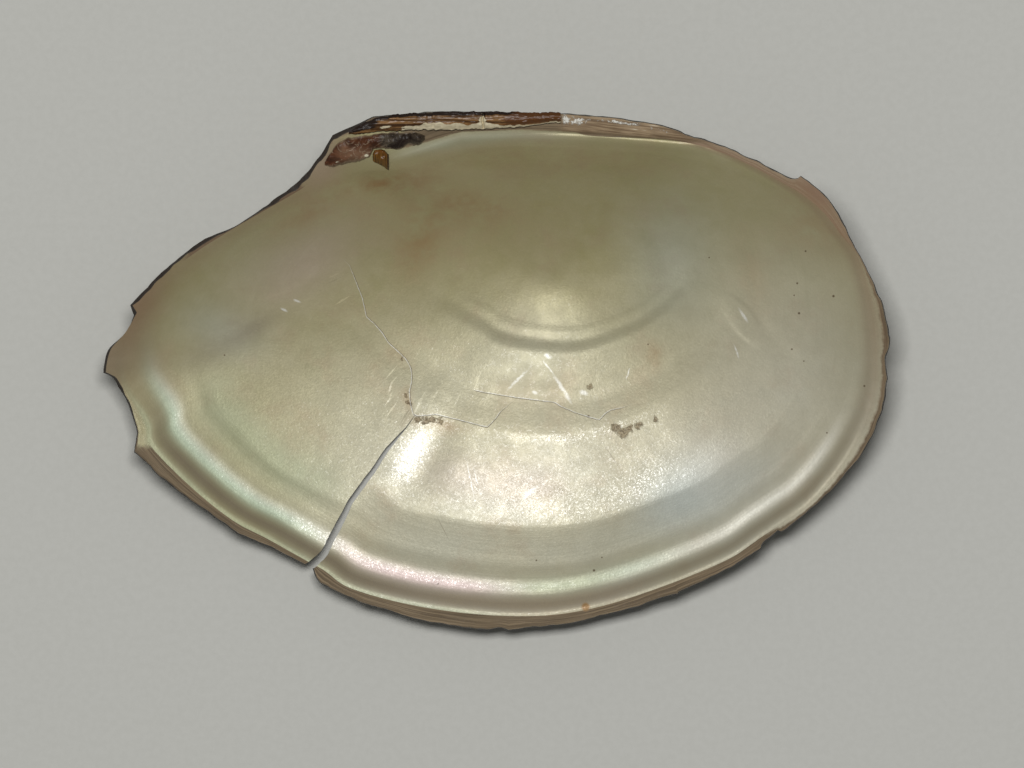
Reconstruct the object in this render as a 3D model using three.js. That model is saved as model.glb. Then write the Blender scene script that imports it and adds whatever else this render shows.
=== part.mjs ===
// The left valve of a large freshwater mussel, lying on its rounded outside with the pearly hollow up.
// Millimetres, +Z up, +X towards the front end of the animal, +Y towards the hinge.
// The valve is one grown piece with an open crack. The horny hinge ligament, a torn scrap of it and the
// dried tissue left in the notch behind it are pieces of their own.
import * as THREE from 'three';
import { mergeVertices } from 'three/addons/utils/BufferGeometryUtils.js';

const { clamp, lerp, smoothstep } = THREE.MathUtils;

// Driving dimensions
const BOWL_DEPTH = 22; // from the plane of the lips to the deepest point of the outside
const DEEPEST = new THREE.Vector2(11, 18); // where the valve swells most, square to the plane of the lips
const LEAN = new THREE.Vector2(0.03, 0.24); // slopes of the plane of the lips as the valve rests
const FLANK = 0.82; // how steeply the straight flank leaves the deepest point, against a plain cone
const FLANK_ROUND = 0.1; // share of the way over which the cone's point is rounded
const WALL_MIDDLE = 1.5;
const WALL_AT_LIP = 0.9;
const REST_WEAR = 0.4; // worn off the lowest point, which leaves a flat to rest on
const GAP = 0.3; // between pieces that lie on one another
const LIP_STEP = 4.4; // spacing of the mesh columns along the lip
const UMBO = new THREE.Vector2(18.4, 38.4); // the growth lines are smaller copies of the lip about it

// The lip as it is now, anticlockwise from the right side of the crack to its left side. Each stretch is
// a smooth curve, and stretches meet in corners where the edge is chipped.
const LIP = [
  [[-36.9, -39.5], [-36.2, -41.3], [-35.3, -42.7]],
  [[-35.3, -42.7], [-24.4, -47.4], [-13.4, -50.3], [-1.8, -52.0]],
  [[-1.8, -52.0], [0.7, -51.6], [2.5, -52.0]],
  [[2.5, -52.0], [13.3, -50.8], [25.5, -48.0], [36.6, -44.7]],
  [[36.6, -44.7], [37.2, -44.0], [45.7, -40.1], [53.1, -35.5]],
  [[53.1, -35.5], [53.4, -34.6], [56.6, -31.9]],
  [[56.6, -31.9], [58.3, -31.5], [65.9, -25.1], [72.7, -17.4], [77.0, -8.9], [78.5, -1.4]],
  [[78.5, -1.4], [78.1, 2.6], [78.9, 6.6], [76.4, 16.2], [70.9, 27.2], [66.0, 35.1], [60.8, 39.1]],
  [[60.8, 39.1], [58.6, 38.9], [48.8, 43.8], [39.0, 47.4], [30.5, 49.8], [22.5, 50.9], [15.0, 51.5]],
  [[15.0, 51.5], [0.0, 51.9], [-13.2, 51.9], [-24.6, 51.0]],
  [[-24.6, 51.0], [-27.2, 49.7], [-32.6, 47.2]],
  [[-32.6, 47.2], [-38.1, 39.4], [-45.2, 33.9], [-52.0, 29.3], [-59.3, 26.0], [-66.7, 20.1], [-73.3, 13.4]],
  [[-73.3, 13.4], [-72.5, 11.5]],
  [[-72.5, 11.5], [-74.2, 7.9], [-77.8, 4.4], [-78.9, -0.2]],
  [[-78.9, -0.2], [-76.5, -1.9], [-73.8, -6.6], [-72.0, -12.3]],
  [[-72.0, -12.3], [-72.8, -16.2]],
  [[-72.8, -16.2], [-63.6, -24.2], [-51.7, -32.6]],
  [[-51.7, -32.6], [-44.0, -35.9], [-38.6, -38.7]],
];

// The edge of the mother-of-pearl, where the bowl ends and the thin border of the lip begins. Behind the
// ligament it steps in round the notch that holds the dried tissue.
const PEARL_EDGE = [
  [5.6, -49.0], [31.8, -43.6], [59.2, -29.8], [74.8, -7.6], [74.4, 17.4], [68.8, 28.0], [58.6, 37.0],
  [40.8, 45.2], [20.8, 46.9], [4.8, 47.6], [-7.0, 47.2], [-14.0, 45.0], [-22.0, 42.6], [-31.0, 41.0],
  [-38.6, 37.0], [-59.6, 24.6], [-72.0, 13.0], [-77.6, 2.4], [-75.4, -7.6], [-55.6, -27.8], [-28.1, -43.8],
];

// Rows of the mesh between the umbo and the edge of the pearl, on the rest lines and, outside, across the
// resting flat
const INSIDE_ROWS = [
  0.1, 0.2, 0.25, 0.33, 0.364, 0.394, 0.45, 0.5, 0.54, 0.582, 0.61, 0.66, 0.715, 0.76, 0.797, 0.842,
  0.868, 0.884, 0.908, 0.922, 0.954, 0.985, 1,
];
const OUTSIDE_ROWS = [
  0.12, 0.2, 0.25, 0.3, 0.34, 0.38, 0.42, 0.47, 0.53, 0.61, 0.7, 0.797, 0.842, 0.868, 0.908, 0.922,
  0.954, 0.985, 1,
];
const BORDER_ROWS = [0.3, 1];

// Rest lines of growth: an extra slope of the inside between two shares of the way to the edge of the pearl
const REST_LINES = [
  { from: 0.15, to: 0.175, slope: -0.05 },
  { from: 0.2, to: 0.235, slope: -0.07 },
  { from: 0.25, to: 0.325, slope: 0.1 },
  { from: 0.333, to: 0.347, slope: -0.1 },
  { from: 0.349, to: 0.364, slope: 0.12 },
  { from: 0.366, to: 0.394, slope: -0.26 },
  { from: 0.4, to: 0.5, slope: 0.09 },
  { from: 0.505, to: 0.582, slope: -0.12 },
  { from: 0.585, to: 0.602, slope: 0.05 },
  { from: 0.64, to: 0.66, slope: -0.03 },
  { from: 0.7, to: 0.715, slope: 0.05 },
  { from: 0.797, to: 0.842, slope: 0.2 },
  { from: 0.842, to: 0.915, slope: 0.16 },
  { from: 0.868, to: 0.884, slope: -0.08 },
  { from: 0.886, to: 0.908, slope: 0.08 },
  { from: 0.922, to: 0.954, slope: -0.2 },
  { from: 0.957, to: 0.988, slope: 0.42 },
  { from: 0.991, to: 1, slope: -0.34 },
];
const BOWL_SIDE = 88; // length of the slope from the umbo to the lower lip
const RELIEF_OUTSIDE = 0.6; // how much of the relief shows outside
const MIDDLE_STEP = 1.65; // height of the step near the lip that both ends lack

// The open crack: place as a share of the way from the umbo to its mouth, sideways shift of its middle
// from the straight line there, and half its width
const CRACK = [
  { at: 0.61, shift: -0.5, half: 0 },
  { at: 0.65, shift: -0.57, half: 0.13 },
  { at: 0.7, shift: -0.95, half: 0.42 },
  { at: 0.785, shift: -0.85, half: 0.55 },
  { at: 0.84, shift: -0.81, half: 0.56 },
  { at: 0.89, shift: 0.06, half: 0.74 },
  { at: 0.935, shift: 0.57, half: 0.7 },
  { at: 0.96, shift: 1.0, half: 0.76 },
  { at: 1.01, shift: 0, half: 0.95 },
];
const CRACK_TIP = CRACK[0].at;
const CRACK_REACH = 16; // how far along the lip the mesh columns bend with the crack

// The hinge ligament from its torn rear end to its square-cut front end: inner and outer side and
// thickness at each x. It is cracked across once.
const LIGAMENT = [
  { at: -29.4, inner: 47.5, outer: 48.2, thick: 0.35 },
  { at: -27.5, inner: 47.4, outer: 49.1, thick: 0.8 },
  { at: -24, inner: 47.9, outer: 50.6, thick: 1.2 },
  { at: -18, inner: 48.2, outer: 51.4, thick: 1.4 },
  { at: -7, inner: 48.2, outer: 51.5, thick: 1.4 },
  { at: -3.1, inner: 48.3, outer: 51.5, thick: 1.4 },
  { at: -2.6, inner: 48.3, outer: 51.5, thick: 0.6 },
  { at: -2.1, inner: 48.3, outer: 51.5, thick: 1.4 },
  { at: 4, inner: 48.8, outer: 51.4, thick: 1.3 },
  { at: 12.9, inner: 49.8, outer: 51.2, thick: 1.2 },
];

// The dried tissue in the notch, laid out in the same way
const TISSUE = [
  { at: -34, inner: 41.3, outer: 42.6, thick: 0.3 },
  { at: -32, inner: 41.3, outer: 45.0, thick: 1.0 },
  { at: -29.5, inner: 41.9, outer: 46.3, thick: 1.6 },
  { at: -27, inner: 42.3, outer: 46.5, thick: 1.1 },
  { at: -25.2, inner: 43.0, outer: 46.7, thick: 1.4 },
  { at: -24.4, inner: 44.6, outer: 46.8, thick: 1.3 },
  { at: -21.4, inner: 44.6, outer: 47.4, thick: 1.3 },
  { at: -19, inner: 44.3, outer: 47.5, thick: 0.9 },
  { at: -17.4, inner: 45.4, outer: 47.5, thick: 0.5 },
  { at: -16, inner: 45.2, outer: 47.5, thick: 1.0 },
  { at: -14.2, inner: 46.0, outer: 47.0, thick: 0.3 },
];

// A torn scrap of ligament that leans over the edge of the notch
const SCRAP = [
  { at: -24.6, inner: 42.6, outer: 43.7, thick: 0.4 },
  { at: -24, inner: 42.1, outer: 44.2, thick: 0.9 },
  { at: -23, inner: 41.2, outer: 44.2, thick: 1.3 },
  { at: -22, inner: 40.6, outer: 43.6, thick: 1.2 },
  { at: -21.4, inner: 40.3, outer: 41.9, thick: 0.6 },
];

// A value of rows that each hold their place `at`, read along straight lines between them.
function readRows(rows, key, at) {
  const after = rows.findIndex((row) => row.at >= at);
  if (after === 0) return rows[0][key];
  if (after < 0) return rows[rows.length - 1][key];
  const [a, b] = [rows[after - 1], rows[after]];
  return lerp(a[key], b[key], (at - a.at) / (b.at - a.at));
}

// The lip as evenly spaced points, with every corner kept.
function lipPoints() {
  const points = [new THREE.Vector2(...LIP[0][0])];
  for (const stretch of LIP) {
    const curve = new THREE.SplineCurve(stretch.map(([x, y]) => new THREE.Vector2(x, y)));
    const steps = Math.max(1, Math.round(curve.getLength() / LIP_STEP));
    points.push(...curve.getSpacedPoints(steps).slice(1));
  }
  return points;
}

// The edge of the pearl as a closed ring of close points.
function pearlRing() {
  const RING_POINTS = 900;
  const knots = PEARL_EDGE.map(([x, y]) => new THREE.Vector3(x, y, 0));
  const curve = new THREE.CatmullRomCurve3(knots, true, 'catmullrom', 0.5);
  return curve.getSpacedPoints(RING_POINTS).slice(1).map((p) => new THREE.Vector2(p.x, p.y));
}

const RING = pearlRing();

// The ring as seen from the deepest point: a radius for each bearing, with the ends wrapped round.
function ringByBearing() {
  const rows = RING.map((p) => {
    const from = p.clone().sub(DEEPEST);
    return { at: from.angle(), radius: from.length() };
  }).sort((a, b) => a.at - b.at);
  const turn = 2 * Math.PI;
  const [first, last] = [rows[0], rows[rows.length - 1]];
  return [{ ...last, at: last.at - turn }, ...rows, { ...first, at: first.at + turn }];
}

const BEARINGS = ringByBearing();

// The same radii averaged over a wide angle, so that the notch behind the ligament leaves no fold down the
// middle of the bowl.
function evenedRadii() {
  const DEGREES = 360;
  const SPREAD = 28;
  const turn = 2 * Math.PI;
  const exact = Array.from({ length: DEGREES }, (_, k) => readRows(BEARINGS, 'radius', (k * turn) / DEGREES));
  const average = (degree) => {
    let sum = 0;
    let total = 0;
    for (let k = -SPREAD; k <= SPREAD; k++) {
      const weight = 1 + Math.cos((Math.PI * k) / (SPREAD + 1));
      sum += weight * exact[(degree + k + DEGREES) % DEGREES];
      total += weight;
    }
    return sum / total;
  };
  const rowAt = (k) => ({ at: (k * turn) / DEGREES, radius: average(k % DEGREES) });
  return Array.from({ length: DEGREES + 1 }, (_, k) => rowAt(k));
}

const EVENED = evenedRadii();

// Rise of the bowl over the share of the way from its deepest point to its edge, and the slope of that
// rise: a paraboloid towards the hinge, and elsewhere a straight flank that turns up towards the lip.
function bowlRise(share, hingeSide) {
  const round = Math.exp(-share / FLANK_ROUND);
  const turnUp = 1 - FLANK * (1 - FLANK_ROUND * (1 - Math.exp(-1 / FLANK_ROUND)));
  const flank = FLANK * (share - FLANK_ROUND * (1 - round)) + turnUp * share ** 6;
  const flankSlope = FLANK * (1 - round) + 6 * turnUp * share ** 5;
  return { rise: lerp(flank, share ** 2, hingeSide), slope: lerp(flankSlope, 2 * share, hingeSide) };
}

// Height of the outside over the table before the resting flat is worn: a bowl whose radius follows the
// edge of the pearl, eased over a shoulder into a border that is flatter by the hinge, on a leaning plane.
function bowlHeight(x, y) {
  const from = new THREE.Vector2(x, y).sub(DEEPEST);
  const bearing = from.angle();
  const exact = readRows(BEARINGS, 'radius', bearing);
  const nearEdge = smoothstep(from.length() / exact, 0.35, 0.97);
  const radius = lerp(readRows(EVENED, 'radius', bearing), exact, nearEdge);
  const share = from.length() / radius;
  const atHinge = smoothstep(Math.sin(bearing), 0.25, 0.7);
  const shoulder = lerp(0.02, 0.09, atHinge); // half the width, in shares, of the easing
  const borderSlope = lerp(1.7, 0.1 * (radius / BOWL_DEPTH), atHinge);
  const inBowl = Math.min(share, 1 - shoulder);
  const inShoulder = clamp(share - inBowl, 0, 2 * shoulder);
  const inBorder = share - inBowl - inShoulder;
  const { rise, slope } = bowlRise(inBowl, smoothstep(Math.sin(bearing), -0.2, 0.7));
  const turned = ((borderSlope - slope) * inShoulder ** 2) / (4 * shoulder);
  const height = rise + slope * inShoulder + turned + borderSlope * inBorder;
  return BOWL_DEPTH * height + LEAN.x * x + LEAN.y * y;
}

// Slopes of the outside along x and y.
function bowlSlopes(x, y) {
  const REACH = 0.1;
  return new THREE.Vector2(
    bowlHeight(x + REACH, y) - bowlHeight(x - REACH, y),
    bowlHeight(x, y + REACH) - bowlHeight(x, y - REACH),
  ).divideScalar(2 * REACH);
}

// The lowest height of the outside, found by going downhill.
function lowestHeight() {
  const STEPS = 300;
  const STRIDE = 12;
  const at = DEEPEST.clone();
  for (let k = 0; k < STEPS; k++) at.addScaledVector(bowlSlopes(at.x, at.y), -STRIDE);
  return bowlHeight(at.x, at.y);
}

const TABLE = lowestHeight() + REST_WEAR;

// Height that the slopes of the rest lines add up to at a share of the way, over the level they would leave
// at 0.3 and 0.7 of it.
function restHeight(share) {
  const climb = (at) => REST_LINES.reduce(
    (sum, { from, to, slope }) => sum + slope * clamp(at - from, 0, to - from), 0);
  const [near, far] = [0.3, 0.7];
  const toNear = climb(near) * clamp(share / near, 0, 1);
  const toFar = (climb(far) - climb(near)) * clamp((share - near) / (far - near), 0, 1);
  return BOWL_SIDE * (climb(share) - toNear - toFar);
}

// Relief of the rest lines at a plan point that lies at a share of the way from the umbo. They show fully
// below the umbo, fade towards both ends and are missing on the hinge side. The broad step near the lip is
// only below the umbo.
function growthRelief(x, y, share) {
  const off = Math.atan2(x - UMBO.x, UMBO.y - y);
  const aside = smoothstep(-off, 0.5, 0.72) + smoothstep(off, 0.5, 0.85);
  const missing = MIDDLE_STEP * aside * smoothstep(share, 0.79, 0.915);
  const faded = smoothstep(-off, 0.98, 1.2) + smoothstep(off, 0.68, 1.12);
  return (1 - faded) * (restHeight(share) - missing);
}

// Outside of the valve, with its resting flat worn level.
function outsideHeight(x, y, share) {
  return Math.max(0, bowlHeight(x, y) - TABLE + RELIEF_OUTSIDE * growthRelief(x, y, share));
}

// Inside of the valve: the outside raised by the thickness of the wall, measured square to it.
function insideHeight(x, y, share) {
  const wall = lerp(WALL_MIDDLE, WALL_AT_LIP, smoothstep(share, 0.3, 1));
  const upright = wall * Math.hypot(1, bowlSlopes(x, y).length());
  return bowlHeight(x, y) - TABLE + growthRelief(x, y, share) + upright;
}

// How far the inner edge of the lip stands in from the outer one: further along the broken rear end,
// where the dark outer layer shows from above.
function lipInset(x, y) {
  const rear = smoothstep(-x, 25, 40) * smoothstep(y, -15, 5);
  return lerp(0.25, 0.6, rear);
}

// One column of the mesh for each lip point: the lip, the edge of the pearl below it, where the inside
// ends, and how far it lies along the lip from the nearer side of the crack.
function meshColumns() {
  const LEAST_BORDER = 0.9;
  const lip = lipPoints();
  const runs = [0];
  for (let j = 1; j < lip.length; j++) runs.push(runs[j - 1] + lip[j].distanceTo(lip[j - 1]));
  const around = runs[runs.length - 1];
  return lip.map((edge, j) => {
    const inward = UMBO.clone().sub(edge).normalize();
    const nearest = RING.reduce((a, p) => (p.distanceTo(edge) < a.distanceTo(edge) ? p : a));
    const short = Math.max(0, LEAST_BORDER - nearest.clone().sub(edge).dot(inward));
    const pearl = nearest.clone().addScaledVector(inward, short);
    const insideEnd = 1 - lipInset(edge.x, edge.y) / pearl.distanceTo(edge);
    const front = runs[j] < around / 2;
    const fromCrack = front ? runs[j] : around - runs[j];
    return { edge, pearl, insideEnd, front, fromCrack };
  });
}

const COLUMNS = meshColumns();
const LAST = COLUMNS.length - 1;
const CRACK_MOUTH = COLUMNS[0].edge.clone().lerp(COLUMNS[LAST].edge, 0.5);
const CRACK_LINE = CRACK_MOUTH.clone().sub(UMBO);
const CRACK_SIDE = new THREE.Vector2(-CRACK_LINE.y, CRACK_LINE.x).normalize(); // towards the front end

// A plan point moved sideways with the crack, fully at its sides and less and less beyond them.
function bendWithCrack(point, column) {
  const from = point.clone().sub(UMBO);
  const at = from.dot(CRACK_LINE) / CRACK_LINE.lengthSq();
  const side = column.front ? 1 : -1;
  const wanted = readRows(CRACK, 'shift', at) + side * readRows(CRACK, 'half', at);
  const grown = wanted * smoothstep(at, 0, CRACK_TIP);
  if (column.fromCrack === 0) {
    return UMBO.clone().addScaledVector(CRACK_LINE, at).addScaledVector(CRACK_SIDE, grown);
  }
  const reach = (1 - clamp(column.fromCrack / CRACK_REACH, 0, 1)) ** 2;
  const straight = side * CRACK[CRACK.length - 1].half * at; // where the unbent column already is
  return point.addScaledVector(CRACK_SIDE, reach * (grown - straight * smoothstep(at, 0, CRACK_TIP)));
}

// A plan point on a column: share runs from the umbo to the edge of the pearl, border on to the lip.
function planPoint(column, share, border) {
  const point = UMBO.clone().lerp(column.pearl, share).lerp(column.edge, border);
  return border === 1 ? point : bendWithCrack(point, column);
}

// A grid of points, one row of columns for each share and then for each step of the border.
function surfaceGrid(shares, height, borderEnd) {
  const inBowl = shares.map((share) => COLUMNS.map((column) => planPoint(column, share, 0)));
  const inBorder = BORDER_ROWS.map((step) =>
    COLUMNS.map((column) => planPoint(column, 1, step * borderEnd(column))));
  const grid = [...inBowl, ...inBorder].map((row, i) =>
    row.map((p) => new THREE.Vector3(p.x, p.y, height(p.x, p.y, Math.min(shares[i] ?? 1, 1)))));
  const tip = shares.indexOf(CRACK_TIP);
  for (let i = 0; i <= tip; i++) grid[i][LAST].copy(grid[i][0]);
  return grid;
}

// Triangles of strips between the rows of a grid, facing up.
function gridTriangles(grid) {
  const triangles = [];
  for (let i = 1; i < grid.length; i++) {
    for (let j = 1; j < grid[i].length; j++) {
      const [a, b, c, d] = [grid[i - 1][j - 1], grid[i][j - 1], grid[i][j], grid[i - 1][j]];
      triangles.push([a, b, c], [a, c, d]);
    }
  }
  return triangles;
}

// Triangles that join the umbo to the first row of a grid, facing up.
function umboFan(grid, height) {
  const pole = new THREE.Vector3(UMBO.x, UMBO.y, height(UMBO.x, UMBO.y, 0));
  return grid[0].slice(1).map((p, j) => [pole, grid[0][j], p]);
}

function turnedOver(triangles) {
  return triangles.map(([a, b, c]) => [a, c, b]);
}

// How far along a line of points each point lies, as shares of the whole.
function sharesAlong(line) {
  const runs = [0];
  for (let k = 1; k < line.length; k++) runs.push(runs[k - 1] + line[k].distanceTo(line[k - 1]));
  return runs.map((run) => run / runs[runs.length - 1]);
}

// Triangles of the wall that hangs from an upper line of points down to a lower one, which may have a
// different count: each step goes on along the line whose next point comes first.
function wallTriangles(upper, lower) {
  const [up, low] = [sharesAlong(upper), sharesAlong(lower)];
  const triangles = [];
  let i = 0;
  let j = 0;
  while (i + 1 < upper.length || j + 1 < lower.length) {
    if ((up[i + 1] ?? 2) <= (low[j + 1] ?? 2)) {
      triangles.push([upper[i], lower[j], upper[i + 1]]);
      i += 1;
    } else {
      triangles.push([upper[i], lower[j], lower[j + 1]]);
      j += 1;
    }
  }
  return triangles;
}

function geometryOf(triangles) {
  const numbers = triangles.flat().flatMap((p) => p.toArray());
  const loose = new THREE.BufferGeometry();
  loose.setAttribute('position', new THREE.Float32BufferAttribute(numbers, 3));
  const geometry = mergeVertices(loose);
  geometry.computeVertexNormals();
  return geometry;
}

// The valve: its inside and outside, joined by the lip and by the two sides of the crack.
function valveGeometry() {
  const inside = surfaceGrid(INSIDE_ROWS, insideHeight, (column) => column.insideEnd);
  const outside = surfaceGrid(OUTSIDE_ROWS, outsideHeight, () => 1);
  const sideOf = (grid, shares, j) => grid.slice(shares.indexOf(CRACK_TIP)).map((row) => row[j]);
  const front = wallTriangles(sideOf(inside, INSIDE_ROWS, 0), sideOf(outside, OUTSIDE_ROWS, 0));
  const rear = wallTriangles(sideOf(inside, INSIDE_ROWS, LAST), sideOf(outside, OUTSIDE_ROWS, LAST));
  return geometryOf([
    ...umboFan(inside, insideHeight),
    ...gridTriangles(inside),
    ...turnedOver(umboFan(outside, outsideHeight)),
    ...turnedOver(gridTriangles(outside)),
    ...wallTriangles(inside.at(-1), outside.at(-1)),
    ...front,
    ...turnedOver(rear),
  ]);
}

// A piece that lies on the inside of the valve over a strip of stations, crowned across.
function laidOnValve(stations, stepAlong) {
  const ACROSS = [-1, -0.7, -0.25, 0.25, 0.7, 1];
  const EDGE_SHARE = 0.35; // of the thickness, left at both sides
  const MERGE = 0.4 * stepAlong; // even places closer than this to a station are left out
  const first = stations[0].at;
  const length = stations.at(-1).at - first;
  const steps = Math.round(length / stepAlong);
  const evenly = Array.from({ length: steps + 1 }, (_, k) => first + (length * k) / steps);
  const places = [...new Set([...evenly, ...stations.map((s) => s.at)])].sort((a, b) => a - b);
  const kept = places.filter((at) =>
    stations.some((s) => s.at === at) || stations.every((s) => Math.abs(s.at - at) > MERGE));
  const under = kept.map((x) => ACROSS.map((v) => {
    const y = lerp(readRows(stations, 'inner', x), readRows(stations, 'outer', x), (v + 1) / 2);
    return new THREE.Vector3(x, y, insideHeight(x, y, 1) + GAP);
  }));
  const over = under.map((row, i) => row.map((p, k) => {
    const crown = lerp(EDGE_SHARE, 1, 1 - ACROSS[k] ** 2);
    return p.clone().add(new THREE.Vector3(0, 0, readRows(stations, 'thick', kept[i]) * crown));
  }));
  const rim = (grid) => [
    ...grid.map((row) => row[0]),
    ...grid.at(-1).slice(1),
    ...grid.slice(0, -1).reverse().map((row) => row.at(-1)),
    ...grid[0].slice(0, -1).reverse(),
  ];
  return geometryOf([
    ...gridTriangles(over),
    ...turnedOver(gridTriangles(under)),
    ...wallTriangles(rim(over), rim(under)),
  ]);
}

function pieceOf(name, geometry, colour, roughness) {
  const material = new THREE.MeshStandardMaterial({ color: colour, roughness, metalness: 0 });
  const mesh = new THREE.Mesh(geometry, material);
  mesh.name = name;
  return mesh;
}

const group = new THREE.Group();
group.add(
  pieceOf('valve', valveGeometry(), 0xb9b392, 0.3),
  pieceOf('hinge_ligament', laidOnValve(LIGAMENT, 2), 0x4a2c18, 0.35),
  pieceOf('dried_tissue', laidOnValve(TISSUE, 1.5), 0x6b443c, 0.6),
  pieceOf('ligament_scrap', laidOnValve(SCRAP, 1), 0x8a5a1e, 0.35),
);
export default group;
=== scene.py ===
"""Looks of one cracked left valve of a large freshwater mussel, lying hollow side up on pale paper.

Lengths in the shape functions are millimetres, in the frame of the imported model: +X towards the front
end, +Y towards the hinge, +Z up. Meshes are stored in metres.
"""

import bpy
import numpy as np
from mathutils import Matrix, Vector


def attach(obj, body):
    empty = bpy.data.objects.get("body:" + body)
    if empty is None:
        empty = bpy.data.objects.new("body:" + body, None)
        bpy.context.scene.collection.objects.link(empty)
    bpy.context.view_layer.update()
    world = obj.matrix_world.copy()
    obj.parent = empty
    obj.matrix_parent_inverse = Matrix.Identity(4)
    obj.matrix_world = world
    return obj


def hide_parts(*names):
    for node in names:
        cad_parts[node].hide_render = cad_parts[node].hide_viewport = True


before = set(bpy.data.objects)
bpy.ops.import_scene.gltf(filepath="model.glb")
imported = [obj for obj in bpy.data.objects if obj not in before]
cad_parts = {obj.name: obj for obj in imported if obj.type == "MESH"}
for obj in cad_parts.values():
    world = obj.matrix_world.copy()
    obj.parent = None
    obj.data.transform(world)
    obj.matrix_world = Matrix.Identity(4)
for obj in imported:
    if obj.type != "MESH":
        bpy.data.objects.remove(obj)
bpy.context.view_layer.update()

# Shape of the valve, from the same named values as its solid

MM = 0.001  # a millimetre in metres, which meshes and shaders use
BOWL_DEPTH = 22.0  # from the plane of the lips to the deepest point of the outside
DEEPEST = np.array([11.0, 18.0])
LEAN = np.array([0.03, 0.24])  # slopes of the plane of the lips as the valve rests
FLANK = 0.82  # how steeply the straight flank leaves the deepest point
FLANK_ROUND = 0.1  # share of the way over which that point is rounded
WALL_MIDDLE = 1.5
WALL_AT_LIP = 0.9
REST_WEAR = 0.4  # worn off the lowest point, which leaves a flat to rest on
UMBO = np.array([18.4, 38.4])  # the growth lines are smaller copies of the lip about it
LIP_STEP = 0.7  # spacing of the mesh columns along the lip
BORDER_LEAST = 0.9  # the border between pearl and lip is nowhere narrower

# The lip from the front side of the crack round to its rear side, in stretches between its corners: each
# starts where the one before it ends
LIP_START = [-36.9, -39.5]
LIP = [
    [[-36.2, -41.3], [-35.3, -42.7]],
    [[-24.4, -47.4], [-13.4, -50.3], [-1.8, -52.0]],
    [[0.7, -51.6], [2.5, -52.0]],
    [[13.3, -50.8], [25.5, -48.0], [36.6, -44.7]],
    [[37.2, -44.0], [45.7, -40.1], [53.1, -35.5]],
    [[53.4, -34.6], [56.6, -31.9]],
    [[58.3, -31.5], [65.9, -25.1], [72.7, -17.4], [77.0, -8.9], [78.5, -1.4]],
    [[78.1, 2.6], [78.9, 6.6], [76.4, 16.2], [70.9, 27.2], [66.0, 35.1], [60.8, 39.1]],
    [[58.6, 38.9], [48.8, 43.8], [39.0, 47.4], [30.5, 49.8], [22.5, 50.9], [15.0, 51.5]],
    [[0.0, 51.9], [-13.2, 51.9], [-24.6, 51.0]],
    [[-27.2, 49.7], [-32.6, 47.2]],
    [[-38.1, 39.4], [-45.2, 33.9], [-52.0, 29.3], [-59.3, 26.0], [-66.7, 20.1], [-73.3, 13.4]],
    [[-72.5, 11.5]],
    [[-74.2, 7.9], [-77.8, 4.4], [-78.9, -0.2]],
    [[-76.5, -1.9], [-73.8, -6.6], [-72.0, -12.3]],
    [[-72.8, -16.2]],
    [[-63.6, -24.2], [-51.7, -32.6]],
    [[-44.0, -35.9], [-38.6, -38.7]],
]

PEARL_EDGE = [
    [5.6, -49.0], [31.8, -43.6], [59.2, -29.8], [74.8, -7.6], [74.4, 17.4], [68.8, 28.0], [58.6, 37.0],
    [40.8, 45.2], [20.8, 46.9], [4.8, 47.6], [-7.0, 47.2], [-14.0, 45.0], [-22.0, 42.6], [-31.0, 41.0],
    [-38.6, 37.0], [-59.6, 24.6], [-72.0, 13.0], [-77.6, 2.4], [-75.4, -7.6], [-55.6, -27.8], [-28.1, -43.8],
]

# The open crack: place on the way from the umbo to its mouth, shift of its middle, half its width
CRACK_AT = [0.61, 0.65, 0.70, 0.785, 0.84, 0.89, 0.935, 0.96, 1.01]
CRACK_SHIFT = [-0.5, -0.57, -0.95, -0.85, -0.81, 0.06, 0.57, 1.0, 0.0]
CRACK_HALF = [0.0, 0.13, 0.42, 0.55, 0.56, 0.74, 0.7, 0.76, 0.95]
CRACK_TIP = CRACK_AT[0]
CRACK_REACH = 16.0  # how far along the lip the mesh columns bend with the crack

# Rest lines of growth as seen in the hollow: share of the way to the edge of the pearl where an extra
# slope starts and ends, and that slope
REST_LINES = [
    (0.150, 0.175, -0.05), (0.200, 0.235, -0.07), (0.250, 0.325, 0.10), (0.333, 0.347, -0.10),
    (0.349, 0.364, 0.12), (0.366, 0.394, -0.26), (0.400, 0.500, 0.09), (0.505, 0.582, -0.12),
    (0.585, 0.602, 0.05), (0.640, 0.660, -0.03), (0.700, 0.715, 0.05), (0.797, 0.842, 0.20),
    (0.842, 0.915, 0.16), (0.868, 0.884, -0.08), (0.886, 0.908, 0.08), (0.922, 0.954, -0.20),
    (0.957, 0.988, 0.42), (0.991, 1.000, -0.34),
]
# The same behind the crack, where the broad step below the fourth line is missing
REAR_LINES = [line for line in REST_LINES if line[1] < 0.79] + [
    (0.858, 0.880, 0.17), (0.884, 0.905, -0.05), (0.922, 0.954, -0.20), (0.957, 0.988, 0.40),
    (0.991, 1.000, -0.34),
]
# and the same near the front end, where the lines are faint
FRONT_LINES = [line for line in REST_LINES if line[1] < 0.79] + [
    (0.922, 0.954, -0.12), (0.957, 0.988, 0.30), (0.991, 1.000, -0.34),
]
BOWL_SIDE = 88.0  # length of the slope from the umbo to the lower lip
REST_SOFT = 0.004  # share of the way over which each slope sets in and ends
REST_LEVEL_AT = [0, 0.3, 0.7]  # shares at which the rest lines add no height
LATTICE = 256  # cells of the noise lattice before it repeats
EVENED_OVER = 28  # degrees to both sides over which the radius of the bowl is averaged


def smoothstep(value, low, high):
    """0 below low, 1 above high, and 3t^2 - 2t^3 between."""
    t = np.clip((value - low) / (high - low), 0.0, 1.0)
    return t * t * (3 - 2 * t)


def lerp(a, b, t):
    return a + (b - a) * t


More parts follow.
